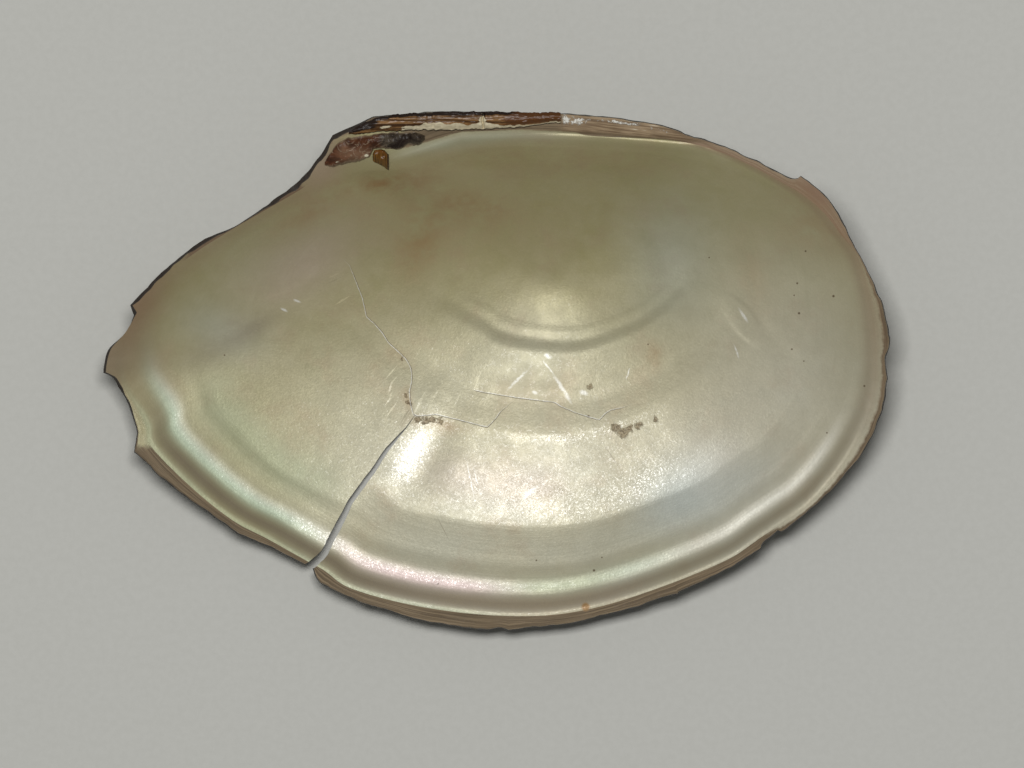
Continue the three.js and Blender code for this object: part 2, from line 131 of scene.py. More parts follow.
def spline(knots, closed, per_span):
    """A uniform Catmull-Rom curve: on each span the cubic whose ends are two knots and whose end slopes
    are half the chord between each knot's neighbours."""
    p = np.asarray(knots, float)
    n = len(p)
    spans = n if closed else n - 1
    u = np.linspace(0, spans, spans * per_span + 1)
    i = np.minimum(u.astype(int), spans - 1)
    t = (u - i)[:, None]
    at = (lambda k: p[k % n]) if closed else (lambda k: p[np.clip(k, 0, n - 1)])
    a, b, c, d = at(i - 1), at(i), at(i + 1), at(i + 2)
    return 0.5 * (2 * b + (c - a) * t + (2 * a - 5 * b + 4 * c - d) * t**2 + (3 * b - a - 3 * c + d) * t**3)


def run_along(line):
    """Length from the first point of a line to each of its points."""
    return np.r_[0.0, np.cumsum(np.linalg.norm(np.diff(line, axis=0), axis=1))]


def evenly(line, steps):
    """The line again as steps + 1 points at equal lengths."""
    run = run_along(line)
    to = np.linspace(0, run[-1], steps + 1)
    return np.column_stack([np.interp(to, run, line[:, k]) for k in range(line.shape[1])])


def lattice_noise(x, y, size, seed):
    """Smooth random heights from -1 to 1: values on a square lattice of that size, blended between its
    corners by smoothstep weights."""
    values = np.random.default_rng(seed).uniform(-1, 1, (LATTICE + 1, LATTICE + 1))
    u, v = np.asarray(x) / size + LATTICE / 2, np.asarray(y) / size + LATTICE / 2
    i, j = np.floor(u).astype(int), np.floor(v).astype(int)
    fu, fv = smoothstep(u - i, 0, 1), smoothstep(v - j, 0, 1)
    i, j = i % LATTICE, j % LATTICE
    low = lerp(values[i, j], values[i + 1, j], fu)
    high = lerp(values[i, j + 1], values[i + 1, j + 1], fu)
    return lerp(low, high, fv)


def line_noise(run, size, seed):
    """The same along a line: the noise read along one edge of its lattice."""
    return lattice_noise(run, 0 * run, size, seed)


def in_radii(x, y, at, radii, turn):
    """Distance from a middle counted in two radii, which are turned by some degrees."""
    dx, dy = x - at[0], y - at[1]
    c, s = np.cos(np.radians(turn)), np.sin(np.radians(turn))
    return np.hypot((c * dx + s * dy) / radii[0], (c * dy - s * dx) / radii[1])


def blot(x, y, at, radii, turn=0.0):
    """A soft spot: exp of minus the square of that distance."""
    return np.exp(-(in_radii(x, y, at, radii, turn) ** 2))


def blots(x, y, rows):
    """The sum of soft spots: strength, middle, two radii and turn of each."""
    return sum(row[0] * blot(x, y, row[1:3], row[3:5], row[5]) for row in rows)


def bell(value, middle, width):
    """Exp of minus the square of the distance from the middle in widths."""
    return np.exp(-(((value - middle) / width) ** 2))


def window(value, a, b, c, d):
    """0 outside and 1 inside two limits: a smoothstep up from a to b, and one down from c to d."""
    return smoothstep(value, a, b) * (1 - smoothstep(value, c, d))


RING = evenly(spline(PEARL_EDGE, True, 60), 3000)[:-1]
_from = RING - DEEPEST
_order = np.argsort(np.arctan2(_from[:, 1], _from[:, 0]) % (2 * np.pi))
RING_BEARING = (np.arctan2(_from[:, 1], _from[:, 0]) % (2 * np.pi))[_order]
RING_RADIUS = np.linalg.norm(_from, axis=1)[_order]


def edge_radius(bearing):
    """Distance from the deepest point to the edge of the pearl at a bearing."""
    return np.interp(bearing, RING_BEARING, RING_RADIUS, period=2 * np.pi)


def evened_table():
    """That distance averaged over some degrees to both sides with raised-cosine weights."""
    spread = np.arange(-EVENED_OVER, EVENED_OVER + 1)
    weight = 1 + np.cos(np.pi * spread / (EVENED_OVER + 1))
    degrees = np.arange(360)[:, None] + spread[None]
    return (edge_radius(np.radians(degrees)) * weight).sum(1) / weight.sum()


EVENED = evened_table()


def evened_radius(bearing):
    return np.interp(bearing, np.radians(np.arange(360)), EVENED, period=2 * np.pi)


def bowl_rise(share, hinge_side):
    """Rise over the share of the way from the deepest point to the edge, and its slope: the square of
    the share towards the hinge; elsewhere a straight flank, rounded off at its foot by an exponential,
    plus a sixth power that turns it up towards the lip."""
    rounded = np.exp(-share / FLANK_ROUND)
    turn_up = 1 - FLANK * (1 - FLANK_ROUND * (1 - np.exp(-1 / FLANK_ROUND)))
    flank = FLANK * (share - FLANK_ROUND * (1 - rounded)) + turn_up * share**6
    flank_slope = FLANK * (1 - rounded) + 6 * turn_up * share**5
    return lerp(flank, share**2, hinge_side), lerp(flank_slope, 2 * share, hinge_side)


def bowl_height(x, y):
    """The bowl's rise, its radius following the edge of the pearl, joined by a parabolic shoulder to the
    straight border of the lip, on a leaning plane."""
    dx, dy = x - DEEPEST[0], y - DEEPEST[1]
    away = np.hypot(dx, dy)
    bearing = np.arctan2(dy, dx) % (2 * np.pi)
    exact = edge_radius(bearing)
    radius = lerp(evened_radius(bearing), exact, smoothstep(away / exact, 0.35, 0.97))
    share = away / radius
    at_hinge = smoothstep(np.sin(bearing), 0.25, 0.7)
    shoulder = lerp(0.02, 0.09, at_hinge)
    border_slope = lerp(1.7, 0.1 * radius / BOWL_DEPTH, at_hinge)
    in_bowl = np.minimum(share, 1 - shoulder)
    in_shoulder = np.clip(share - in_bowl, 0, 2 * shoulder)
    in_border = share - in_bowl - in_shoulder
    rise, slope = bowl_rise(in_bowl, smoothstep(np.sin(bearing), -0.2, 0.7))
    turned = (border_slope - slope) * in_shoulder**2 / (4 * shoulder)
    height = rise + slope * in_shoulder + turned + border_slope * in_border
    return BOWL_DEPTH * height + LEAN[0] * x + LEAN[1] * y


def bowl_slopes(x, y):
    """Slopes of the bowl along x and y, by differences over 0.2 mm."""
    reach = 0.1
    along_x = bowl_height(x + reach, y) - bowl_height(x - reach, y)
    along_y = bowl_height(x, y + reach) - bowl_height(x, y - reach)
    return along_x / (2 * reach), along_y / (2 * reach)


def table_height():
    """Height of the table under the bowl: the lowest point, found downhill, plus what is worn off it."""
    steps, pace = 300, 12
    at = DEEPEST.copy()
    for _ in range(steps):
        at -= pace * np.array(bowl_slopes(at[0], at[1])).ravel()
    return float(bowl_height(at[0], at[1])) + REST_WEAR


TABLE = table_height()


def direction_off(x, y):
    """Angle in radians between straight down from the umbo and the way to a point: negative to the rear."""
    return np.arctan2(x - UMBO[0], UMBO[1] - y)


def rest_profile(lines):
    """Rest lines as a height over the share: their extra slopes, softened at both ends and summed up."""
    share = np.linspace(0, 1.06, 2121)

    def begun(at):
        return smoothstep(share, at - REST_SOFT, at + REST_SOFT)

    slope = sum(extra * (begun(start) - begun(end)) for start, end, extra in lines)
    height = np.cumsum(slope) * (share[1] - share[0]) * BOWL_SIDE
    return share, height - np.interp(share, REST_LEVEL_AT, np.interp(REST_LEVEL_AT, share, height))


REST_SHARE, REST_HEIGHT = rest_profile(REST_LINES)
REAR_HEIGHT = rest_profile(REAR_LINES)[1]
FRONT_HEIGHT = rest_profile(FRONT_LINES)[1]


def growth_relief(x, y, share):
    """Rest lines on a point at that share: full below the umbo, fading towards both ends, wavering a
    little along their length, with finer lines between them."""
    off = direction_off(x, y)
    rear, front = smoothstep(-off, 0.98, 1.20), smoothstep(off, 0.68, 1.12)
    middle = smoothstep(np.abs(off), 0.55, 1.1) * (1 - smoothstep(share, 0.5, 0.75))
    strength = (1 - rear) * (1 - front) * (1 - middle)
    waver = share + 0.0035 * lattice_noise(x, y, 9, 3) * smoothstep(share, 0.1, 0.4)
    fine = 0.02 * lattice_noise(share * 28, off * 2, 1, 5) * smoothstep(share, 0.3, 0.6)
    behind = smoothstep(-off, 0.50, 0.72)
    profiles = (REST_HEIGHT, REAR_HEIGHT, FRONT_HEIGHT)
    lines, at_rear, at_front = (np.interp(waver, REST_SHARE, profile) for profile in profiles)
    lines = lerp(lerp(lines, at_rear, behind), at_front, smoothstep(off, 0.50, 0.85))
    return strength * (lines + fine)


def outside_height(x, y, share):
    """Outside of the valve: the bowl and part of the rest lines, worn level where it rests."""
    off = direction_off(x, y)
    fine = 0.05 * lattice_noise(share * 300, off * 2, 1, 8) * smoothstep(share, 0.05, 0.3)
    return np.maximum(0.0, bowl_height(x, y) - TABLE + 0.6 * growth_relief(x, y, share) + fine)


# Scars of the shell muscles: middle, radii, turn and depth of each
SCARS = [
    ((62.0, 17.0), (9.5, 15.0), 12, 0.12), ((49.6, 10.5), (2.4, 5.5), 35, 0.12),
    ((-46.0, 22.0), (11.0, 7.0), 20, 0.06),
]


def scar_relief(x, y):
    """The sunk scars of the shell muscles: each an ellipse with a soft step at its rim."""
    return -sum(depth * (1 - smoothstep(in_radii(x, y, at, radii, turn), 0.85, 1.10))
                for at, radii, turn, depth in SCARS)


HINGE_EDGE_X = [-31.0, -22.0, -14.0, -7.0, 4.8, 20.8, 40.8, 58.6]
HINGE_EDGE_Y = [41.0, 42.6, 45.0, 47.2, 47.6, 46.9, 45.2, 37.0]


def out_of_hinge(x, y):
    """How far a point lies outside the edge of the pearl along the hinge."""
    return y - np.interp(x, HINGE_EDGE_X, HINGE_EDGE_Y)


def hinge_relief(x, y):
    """Along the hinge: a pearly crest on the edge of the pearl and a groove outside it, both bell curves
    across, and noise for the flaking shelf in front of the ligament."""
    out = out_of_hinge(x, y)
    along = window(x, -26, -14, 36, 50) * smoothstep(y, 39, 43)
    crest = 0.30 * bell(out, -0.7, 0.9)
    crest -= 0.30 * bell(out, 0.5, 0.35) * smoothstep(x, 4, 14)
    shelf = smoothstep(out, 0.8, 1.4) * smoothstep(x, 12.6, 13.4)
    flaking = 0.22 * lattice_noise(x * 0.4, y, 0.7, 12) + 0.12 * lattice_noise(x * 0.2, y * 2, 0.6, 13)
    return along * (crest + shelf * flaking)


def inside_height(x, y, share):
    """Inside of the valve: the outside raised by the wall, measured square to it, with the rest lines,
    the muscle scars, the hinge, a low swelling beside the crack and gentle unevenness of the pearl."""
    wall = lerp(WALL_MIDDLE, WALL_AT_LIP, smoothstep(share, 0.3, 1))
    sx, sy = bowl_slopes(x, y)
    base = bowl_height(x, y) - TABLE + wall * np.sqrt(1 + sx**2 + sy**2)
    uneven = 0.10 * lattice_noise(x, y, 13, 21) + 0.035 * lattice_noise(x, y, 4.5, 22)
    calm = smoothstep(share, 0.02, 0.15)
    warp = 0.55 * blot(x, y, (-13.4, -17.0), (4.2, 9.0), -32)
    return base + growth_relief(x, y, share) + calm * (uneven + scar_relief(x, y)) + warp + hinge_relief(x, y)


def evened(values, reach):
    """The largest value within that many places round a ring, then averaged over as many with
    raised-cosine weights, so that it is never less than the value itself."""
    shifts = range(-reach, reach + 1)
    widest = np.max([np.roll(values, k) for k in shifts], axis=0)
    weights = [1 + np.cos(np.pi * k / (reach + 1)) for k in shifts]
    return sum(w * np.roll(widest, k) for w, k in zip(weights, shifts)) / sum(weights)


def lip_columns():
    """For each point of the lip: the lip, roughened by small chips, the edge of the pearl below it, where
    the inside ends, on which side of the crack it is and how far from it along the lip."""
    lip = np.array([LIP_START])
    for stretch in LIP:
        line = spline([lip[-1], *stretch], False, 60)
        lip = np.vstack([lip, evenly(line, max(1, round(run_along(line)[-1] / LIP_STEP)))[1:]])
    run = run_along(lip)
    near = np.linalg.norm(lip[:, None] - RING[None], axis=2).argmin(1)
    inward = UMBO - lip
    inward /= np.linalg.norm(inward, axis=1)[:, None]
    short = evened(np.maximum(0, BORDER_LEAST - ((RING[near] - lip) * inward).sum(1)), 6)
    pearl = RING[near] + short[:, None] * inward
    outward = lip - pearl
    width = np.linalg.norm(outward, axis=1)
    chips = 0.10 * line_noise(run, 2.6, 31) + 0.07 * line_noise(run, 1.1, 32)
    chips -= 0.22 * smoothstep(line_noise(run, 4.0, 33), 0.45, 0.8)
    fade = smoothstep(np.minimum(run, run[-1] - run), 0, 1.5)
    lip = lip + outward / width[:, None] * (chips * fade)[:, None]
    rear = smoothstep(-lip[:, 0], 25, 40) * smoothstep(lip[:, 1], -15, 5)
    notch = smoothstep(-lip[:, 0], 24, 30) * smoothstep(lip[:, 1], 30, 36)
    inset = lerp(lerp(0.25, 0.70, rear), 0.95, notch) * (1 + 0.35 * line_noise(run, 1.7, 34))
    front = run < run[-1] / 2
    from_crack = np.where(front, run, run[-1] - run)
    return lip, pearl, 1 - inset / width, front, from_crack


EDGE, PEARL, INSIDE_END, FRONT, FROM_CRACK = lip_columns()
CRACK_LINE = (EDGE[0] + EDGE[-1]) / 2 - UMBO
CRACK_SIDE = np.array([-CRACK_LINE[1], CRACK_LINE[0]]) / np.linalg.norm(CRACK_LINE)


def bend_with_crack(points):
    """Plan points moved sideways with the crack: fully at its sides, and less with the square of the
    distance along the lip beyond them. The break wanders by a tenth of a millimetre."""
    at = (points - UMBO) @ CRACK_LINE / (CRACK_LINE @ CRACK_LINE)
    side = np.where(FRONT, 1.0, -1.0)
    along = at * 96
    jag = 0.12 * line_noise(along, 1.9, 41) + 0.06 * line_noise(along, 0.7, 42)
    wanted = np.interp(at, CRACK_AT, CRACK_SHIFT) + jag + side * np.interp(at, CRACK_AT, CRACK_HALF)
    grown = wanted * smoothstep(at, 0, CRACK_TIP)
    straight = side * CRACK_HALF[-1] * at * smoothstep(at, 0, CRACK_TIP)
    reach = (1 - np.clip(FROM_CRACK / CRACK_REACH, 0, 1)) ** 2
    bent = points + (reach * (grown - straight))[..., None] * CRACK_SIDE
    on_line = UMBO + at[..., None] * CRACK_LINE + grown[..., None] * CRACK_SIDE
    return np.where((FROM_CRACK == 0)[:, None], on_line, bent)


# Rows of the surface: even steps, closer near the rest lines, with one row at the crack's tip
SHARES = np.r_[0.03, 0.06, 0.09:0.335:0.02, 0.335:0.41:0.008, 0.42:0.57:0.02, 0.58, 0.588, 0.596, 0.604,
               CRACK_TIP, 0.63:0.79:0.02, 0.797:0.915:0.009, 0.92:0.997:0.0075, 1.0]
# Rows of the border: share of the way from the edge of the pearl to the lip
BORDERS = np.array([0.08, 0.16, 0.24, 0.34, 0.48, 0.64, 0.82, 1.0])


def plan_grid(border_end):
    """Plan points of all rows and columns, with the share and the border step of each."""
    bowl = UMBO + (PEARL - UMBO)[None] * SHARES[:, None, None]
    step = BORDERS[:, None] * border_end[None]
    border = PEARL[None] + (EDGE - PEARL)[None] * step[..., None]
    whole = np.concatenate([bowl, border])
    bent = bend_with_crack(whole)
    at_lip = np.concatenate([np.zeros((len(SHARES), len(EDGE)), bool), step >= 1 - 1e-9])
    share = np.concatenate([np.repeat(SHARES[:, None], len(EDGE), 1), np.ones_like(step)])
    beyond = np.concatenate([np.zeros((len(SHARES), len(EDGE))), step])
    return np.where(at_lip[..., None], whole, bent), share, beyond


# Meshes


def build_mesh(name, points, faces, materials, face_material=None, attributes=None, sharp=None):
    """A mesh object at the origin from points in millimetres and quads or triangles."""
    mesh = bpy.data.meshes.new(name)
    mesh.from_pydata((points * MM).tolist(), [], [tuple(f) for f in faces])
    for material in materials:
        mesh.materials.append(material)
    if face_material is not None:
        mesh.polygons.foreach_set("material_index", face_material.astype(np.int32))
    for key, values in (attributes or {}).items():
        kind = "FLOAT" if values.ndim == 1 else "FLOAT_VECTOR"
        field = "value" if values.ndim == 1 else "vector"
        layer = mesh.attributes.new(key, kind, "POINT")
        layer.data.foreach_set(field, values.astype(np.float32).ravel())
    mesh.polygons.foreach_set("use_smooth", np.ones(len(mesh.polygons), bool))
    if sharp is not None:
        mesh.set_sharp_from_angle(angle=np.radians(sharp))
    mesh.update()
    made = bpy.data.objects.new(name, mesh)
    bpy.context.scene.collection.objects.link(made)
    return made


def strips(index):
    """Quads between the rows of an index grid, facing up when rows run outwards and columns anticlockwise."""
    return np.stack([index[:-1, :-1], index[1:, :-1], index[1:, 1:], index[:-1, 1:]], -1).reshape(-1, 4)


# Materials


class Nodes:
    """Short ways to add shader nodes to one material."""

    def __init__(self, name):
        self.material = bpy.data.materials.new(name)
        self.material.use_nodes = True
        self.tree = self.material.node_tree
        self.shader = self.tree.nodes["Principled BSDF"]

    def add(self, kind, inputs=None, **settings):
        node = self.tree.nodes.new(kind)
        for key, value in settings.items():
            setattr(node, key, value)
        for key, value in (inputs or {}).items():
            self.put(value, node.inputs[key])
        return node

    def put(self, value, socket):
        if isinstance(value, bpy.types.NodeSocket):
            self.tree.links.new(value, socket)
        elif isinstance(value, tuple) and len(value) == 3 and socket.type == "RGBA":
            socket.default_value = (*value, 1)
        else:
            socket.default_value = value

    def math(self, operation, a, b=0.0, c=0.0, clamp=False):
        return self.add("ShaderNodeMath", {0: a, 1: b, 2: c}, operation=operation, use_clamp=clamp).outputs[0]

    def times(self, a, b):
        return self.math("MULTIPLY", a, b)

    def plus(self, a, b):
        return self.math("ADD", a, b)

    def minus(self, a, b):
        return self.math("SUBTRACT", a, b)

    def larger(self, a, b):
        return self.math("MAXIMUM", a, b)

    def apart(self, a, b):
        return self.math("ABSOLUTE", self.minus(a, b))

    def ramp(self, value, low, high, to_low=0.0, to_high=1.0):
        inputs = {0: value, 1: low, 2: high, 3: to_low, 4: to_high}
        return self.add("ShaderNodeMapRange", inputs, interpolation_type="SMOOTHSTEP").outputs[0]

    def mix(self, share, a, b):
        node = self.add("ShaderNodeMix", data_type="RGBA")
        self.put(share, node.inputs[0])
        self.put(a, node.inputs[6])
        self.put(b, node.inputs[7])
        return node.outputs[2]

    def lay(self, share, colour):
        """Lays a colour over the paint so far."""
        self.paint = self.mix(share, self.paint, colour)

    def noise(self, vector, scale, detail=2.0, rough=0.5, distortion=0.0):
        inputs = {"Vector": vector, "Scale": scale, "Detail": detail, "Roughness": rough}
        inputs["Distortion"] = distortion
        return self.add("ShaderNodeTexNoise", inputs).outputs[0]

    def number(self, name):
        return self.add("ShaderNodeAttribute", attribute_name=name).outputs["Fac"]

    def three(self, name):
        return self.parts(self.add("ShaderNodeAttribute", attribute_name=name).outputs["Vector"])

    def parts(self, vector):
        return self.add("ShaderNodeSeparateXYZ", {0: vector}).outputs

    def vector(self, x, y, z):
        return self.add("ShaderNodeCombineXYZ", {0: x, 1: y, 2: z}).outputs[0]

    def drawn(self, x, y, z, by):
        """A point with each coordinate multiplied by its own number."""
        return self.vector(self.times(x, by[0]), self.times(y, by[1]), self.times(z, by[2]))

    def place(self):
        return self.add("ShaderNodeTexCoord").outputs["Object"]

    def facets(self, place, scale, tilt, normal):
        """A normal tilted at random by a little in each cell of a fine Voronoi pattern."""
        cell = self.add("ShaderNodeTexVoronoi", {"Vector": place, "Scale": scale}).outputs["Color"]
        off = self.add("ShaderNodeVectorMath", {0: cell, 1: (0.5, 0.5, 0.5)}, operation="SUBTRACT").outputs[0]
        small = self.add("ShaderNodeVectorMath", {0: off, "Scale": tilt}, operation="SCALE").outputs[0]
        total = self.add("ShaderNodeVectorMath", {0: normal, 1: small}, operation="ADD").outputs[0]
        return self.add("ShaderNodeVectorMath", {0: total}, operation="NORMALIZE").outputs[0]

    def bump(self, height, distance, strength=1.0, under=None):
        inputs = {"Height": height, "Distance": distance, "Strength": strength}
        if under is not None:
            inputs["Normal"] = under
        return self.add("ShaderNodeBump", inputs).outputs[0]

    def finish(self, **inputs):
        """Joins the paint and the other inputs to the shader."""
        self.put(self.paint, self.shader.inputs["Base Color"])
        for key, value in inputs.items():
            self.put(value, self.shader.inputs[key.replace("_", " ")])
        return self.material


def wavering(n, value, noise, amount):
    """A value with centred noise of that amount added."""
    return n.plus(value, n.times(n.minus(noise, 0.5), amount))


def hairline_layers(n, place):
    """Where the hairline cracks are dark, where a painted highlight lies along their upper lip, and the small
    step across them.
    """
    line = n.three("hairline")
    here = n.three("hairline_here")
    wander = n.times(n.minus(n.noise(place, 1300, 3, 0.6), 0.5), 0.22)
    dark, painted_lip_highlight, step = 0.0, 0.0, 0.0
    for k in range(3):
        off = n.plus(line[k], wander)
        near = n.ramp(n.math("ABSOLUTE", off), 0.0, 0.075, 1, 0)
        beside = n.ramp(n.apart(off, 0.13), 0.02, 0.13, 1, 0)
        dark = n.larger(dark, n.times(near, here[k]))
        painted_lip_highlight = n.larger(painted_lip_highlight, n.times(beside, here[k]))
        step = n.plus(step, n.times(n.ramp(off, -0.12, 0.12), here[k]))
    return dark, painted_lip_highlight, step


def spots(n, flat, places):
    """1 inside each of several round spots, falling to 0 at its radius; places are x, y and radius."""
    there = 0.0
    for sx, sy, radius in places:
        inputs = {0: flat, 1: (MM * sx, MM * sy, 0.0)}
        away = n.add("ShaderNodeVectorMath", inputs, operation="DISTANCE").outputs["Value"]
        there = n.larger(there, n.ramp(away, 0.5 * MM * radius, 1.1 * MM * radius, 1, 0))
    return there


def shaken(n, place, flat, scale, amount):
    """Plan points shifted at random by a noise of that scale, so that a shape drawn with them is ragged."""
    noise = n.add("ShaderNodeTexNoise", {"Vector": place, "Scale": scale, "Detail": 3.0}).outputs["Color"]
    off = n.add("ShaderNodeVectorMath", {0: noise, 1: (0.5, 0.5, 0.5)}, operation="SUBTRACT").outputs[0]
    small = n.add("ShaderNodeVectorMath", {0: off, 1: (amount, amount, 0.0)}, operation="MULTIPLY").outputs[0]
    return n.add("ShaderNodeVectorMath", {0: flat, 1: small}, operation="ADD").outputs[0]


def strokes(n, flat, lines):
    """1 along each of several strokes, falling to 0 at a long thin ellipse round it; lines are the two
    ends and half the width."""
    there = 0.0
    for ax, ay, bx, by, half in lines:
        inputs = {"Vector": flat, "Location": (0.5 * MM * (ax + bx), 0.5 * MM * (ay + by), 0.0),
                  "Rotation": (0.0, 0.0, float(np.arctan2(by - ay, bx - ax))),
                  "Scale": (0.58 * MM * float(np.hypot(bx - ax, by - ay)), MM * half, 1.0)}
        local = n.add("ShaderNodeMapping", inputs, vector_type="TEXTURE").outputs[0]
        away = n.add("ShaderNodeVectorMath", {0: local}, operation="LENGTH").outputs["Value"]
        there = n.larger(there, n.ramp(away, 0.3, 1.0, 1, 0))
    return there


# Marks in the pearl. Dark specks, brown crusts and a horny blister: x, y and radius of each
SPECKS = [
    (67.6, 15.2, 0.30), (60.4, 17.8, 0.24), (59.8, 15.4, 0.18), (60.8, 11.8, 0.28), (59.4, 4.6, 0.22),
    (61.8, 2.2, 0.18), (73.8, -2.8, 0.24), (66.4, -12.2, 0.20), (62.0, 24.2, 0.22), (42.8, 23.0, 0.18),
    (8.1, -37.9, 0.22), (21.3, -37.3, 0.18), (19.7, -39.9, 0.30), (-11.7, -42.6, 0.22), (6.7, -28.1, 0.2),
    (18.6, -8.9, 0.30), (30.6, 5.6, 0.20), (-54.6, 3.4, 0.20),
]
CRUSTS = [
    (24.2, -11.2, 1.0), (25.6, -12.4, 1.1), (26.8, -11.4, 0.8), (28.8, -10.9, 0.8), (32.2, -9.4, 0.6),
    (-18.0, -4.4, 0.6), (-17.6, -6.2, 0.5), (-18.9, 2.6, 0.4), (-15.6, -9.6, 0.6), (-14.2, -9.7, 0.8),
    (-12.8, -9.6, 0.8), (-11.2, -9.9, 0.7), (18.9, -3.0, 0.6),
]
BLISTERS = [(18.0, -47.2, 1.0)]
# Bright scratches and dark furrows: two ends and half the width of each
SCRATCHES = [
    (2.0, -3.9, 6.8, 0.9, 0.42), (9.4, 2.4, 11.8, -0.6, 0.26), (11.4, -0.2, 15.4, -6.6, 0.55),
    (27.0, 1.0, 26.2, -1.4, 0.22), (-6.0, -17.4, -4.2, -26.6, 0.20), (-4.6, -19.0, -3.0, -25.0, 0.15),
    (5.0, -25.8, 8.8, -22.6, 0.60), (-43.4, 12.9, -41.8, 12.1, 0.40), (-40.8, 14.6, -39.2, 14.0, 0.40),
    (48.6, 13.0, 50.8, 9.8, 0.40), (47.8, 5.8, 48.9, 2.6, 0.26), (9.6, 3.6, 11.4, 2.8, 0.7),
    (7.2, -3.8, 8.4, -4.5, 0.5), (16.8, -3.8, 18.6, -4.6, 0.7),
]
FURROWS = [(21.2, -13.8, 25.0, -19.6, 0.16), (-12.0, -29.0, -9.4, -34.0, 0.13)]


def pearl_material():
    """Mother-of-pearl of the hollow, with its brown border, stains, chalk, cracks and scratches, and painted
    sheen, glare, glints and shade in its colour.
    """
    n = Nodes("mother_of_pearl")
    place = n.place()
    growth = n.number("growth")
    sheen_tint = n.three("sheen_tint")
    mark = n.three("mark")
    rim = n.three("rim")
    olive = n.number("olive")
    x, y = n.parts(place)[:2]

    cloud = n.noise(place, 45, 4, 0.6)
    mottle = n.noise(place, 260, 3, 0.6)
    grain = n.noise(place, 2400, 2, 0.7)
    ragged = n.noise(place, 900, 4, 0.7)
    # olive towards the hinge: partly the real olive stain under the umbo, partly painted shade on the steep
    # side
    n.paint = n.mix(olive, (0.50, 0.475, 0.355), (0.395, 0.355, 0.168))
    n.lay(n.ramp(cloud, 0.35, 0.65, 0, 0.35), (0.50, 0.44, 0.27))
    n.lay(n.ramp(mottle, 0.3, 0.75, 0, 0.10), (0.60, 0.57, 0.44))
    n.lay(n.ramp(n.noise(place, 110, 5, 0.65), 0.5, 0.72, 0, 0.30), (0.42, 0.31, 0.19))
    # painted glare and glints: whitish colour where the glare and the glinting bands lie, and a pale crest
    # along the hinge
    pale = n.number("pale")
    n.lay(pale, (0.70, 0.675, 0.58))
    n.lay(n.ramp(pale, 0.7, 1.0), (0.88, 0.86, 0.74))
    # painted iridescent sheen: pink, green and blue laid into the colour
    n.lay(sheen_tint[0], (0.66, 0.45, 0.47))
    n.lay(sheen_tint[1], (0.38, 0.56, 0.39))
    n.lay(sheen_tint[2], (0.47, 0.54, 0.54))

    # brown border of the lip, pinkish by the front end, darker and flaky on the shelf of the hinge
    border = n.ramp(wavering(n, n.number("brown"), ragged, 0.5), 0.3, 0.7)
    layers = n.drawn(x, y, growth, (60, 60, 11))
    edge_noise = n.noise(layers, 1, 4, 0.65)
    streak_at = n.vector(n.times(x, 120), n.times(n.plus(y, n.times(x, 0.12)), 2600), 0.0)
    streak = n.noise(streak_at, 1, 3, 0.6)
    brown = n.mix(n.ramp(edge_noise, 0.35, 0.7), (0.115, 0.080, 0.043), (0.275, 0.203, 0.120))
    pink = n.mix(n.ramp(edge_noise, 0.35, 0.7), (0.33, 0.228, 0.14), (0.45, 0.355, 0.235))
    brown = n.mix(rim[0], brown, pink)
    shelf = n.mix(n.ramp(streak, 0.38, 0.62), (0.185, 0.120, 0.064), (0.375, 0.27, 0.16))
    # painted glints: pale thin lines along the shelf's streaks
    shelf = n.mix(n.ramp(streak, 0.64, 0.70), shelf, (0.80, 0.74, 0.58))
    brown = n.mix(rim[1], brown, shelf)
    n.lay(n.larger(border, rim[1]), brown)
    n.lay(rim[2], (0.33, 0.20, 0.13))
    # greyish dull tone: real smudges, and painted shade in the groove along the lip and over the ring near
    # the middle
    n.lay(mark[2], (0.245, 0.200, 0.140))

    # stains, among them painted shade along the hinge, chalk, specks of dirt
    n.lay(n.times(mark[0], n.ramp(mottle, 0.2, 0.7)), (0.34, 0.19, 0.075))
    chalk = n.ramp(wavering(n, mark[1], n.noise(place, 1500, 4, 0.7), 1.5), 0.42, 0.72)
    n.lay(chalk, (0.80, 0.78, 0.70))
    level = n.vector(x, y, 0.0)
    crust = n.times(spots(n, shaken(n, place, level, 1100.0, 0.0022), CRUSTS), 0.8)
    n.lay(crust, n.mix(n.ramp(grain, 0.40, 0.60), (0.145, 0.095, 0.045), (0.44, 0.35, 0.21)))
    n.lay(spots(n, level, BLISTERS), (0.36, 0.215, 0.09))
    n.lay(n.times(spots(n, level, SPECKS), 0.85), (0.12, 0.08, 0.04))

    dark, painted_lip_highlight, step = hairline_layers(n, place)
    patchy = n.ramp(ragged, 0.3, 0.6, 0.35, 1.0)
    # painted highlight: a pale line along the upper lip of each hairline crack
    n.lay(n.times(n.times(painted_lip_highlight, patchy), 0.75), (0.86, 0.85, 0.80))
    broken = n.ramp(n.noise(place, 330, 4, 0.65), 0.40, 0.60, 0.35, 0.95)
    n.lay(n.times(dark, broken), (0.15, 0.10, 0.055))
    scratch = strokes(n, shaken(n, place, level, 900.0, 0.0006), SCRATCHES)
    scratch = n.times(scratch, n.ramp(ragged, 0.34, 0.52, 0.2))
    n.lay(n.times(scratch, 0.65), (0.90, 0.89, 0.83))
    n.lay(n.times(strokes(n, level, FURROWS), 0.45), (0.22, 0.18, 0.12))

    # silky relief: growth lines, grain, steps at the hairlines, crusts
    fine = n.drawn(x, y, growth, (30, 30, 60))
    soft = n.bump(n.noise(place, 420, 3, 0.55), 0.00004)
    soft = n.bump(n.noise(fine, 1, 3, 0.65), 0.00004, n.ramp(growth, 0.45, 0.70), soft)
    soft = n.bump(grain, 0.000025, 1.0, soft)
    soft = n.bump(n.minus(step, n.times(dark, 0.5)), 0.00006, 1.0, soft)
    soft = n.bump(n.plus(chalk, crust), 0.00010, 1.0, soft)

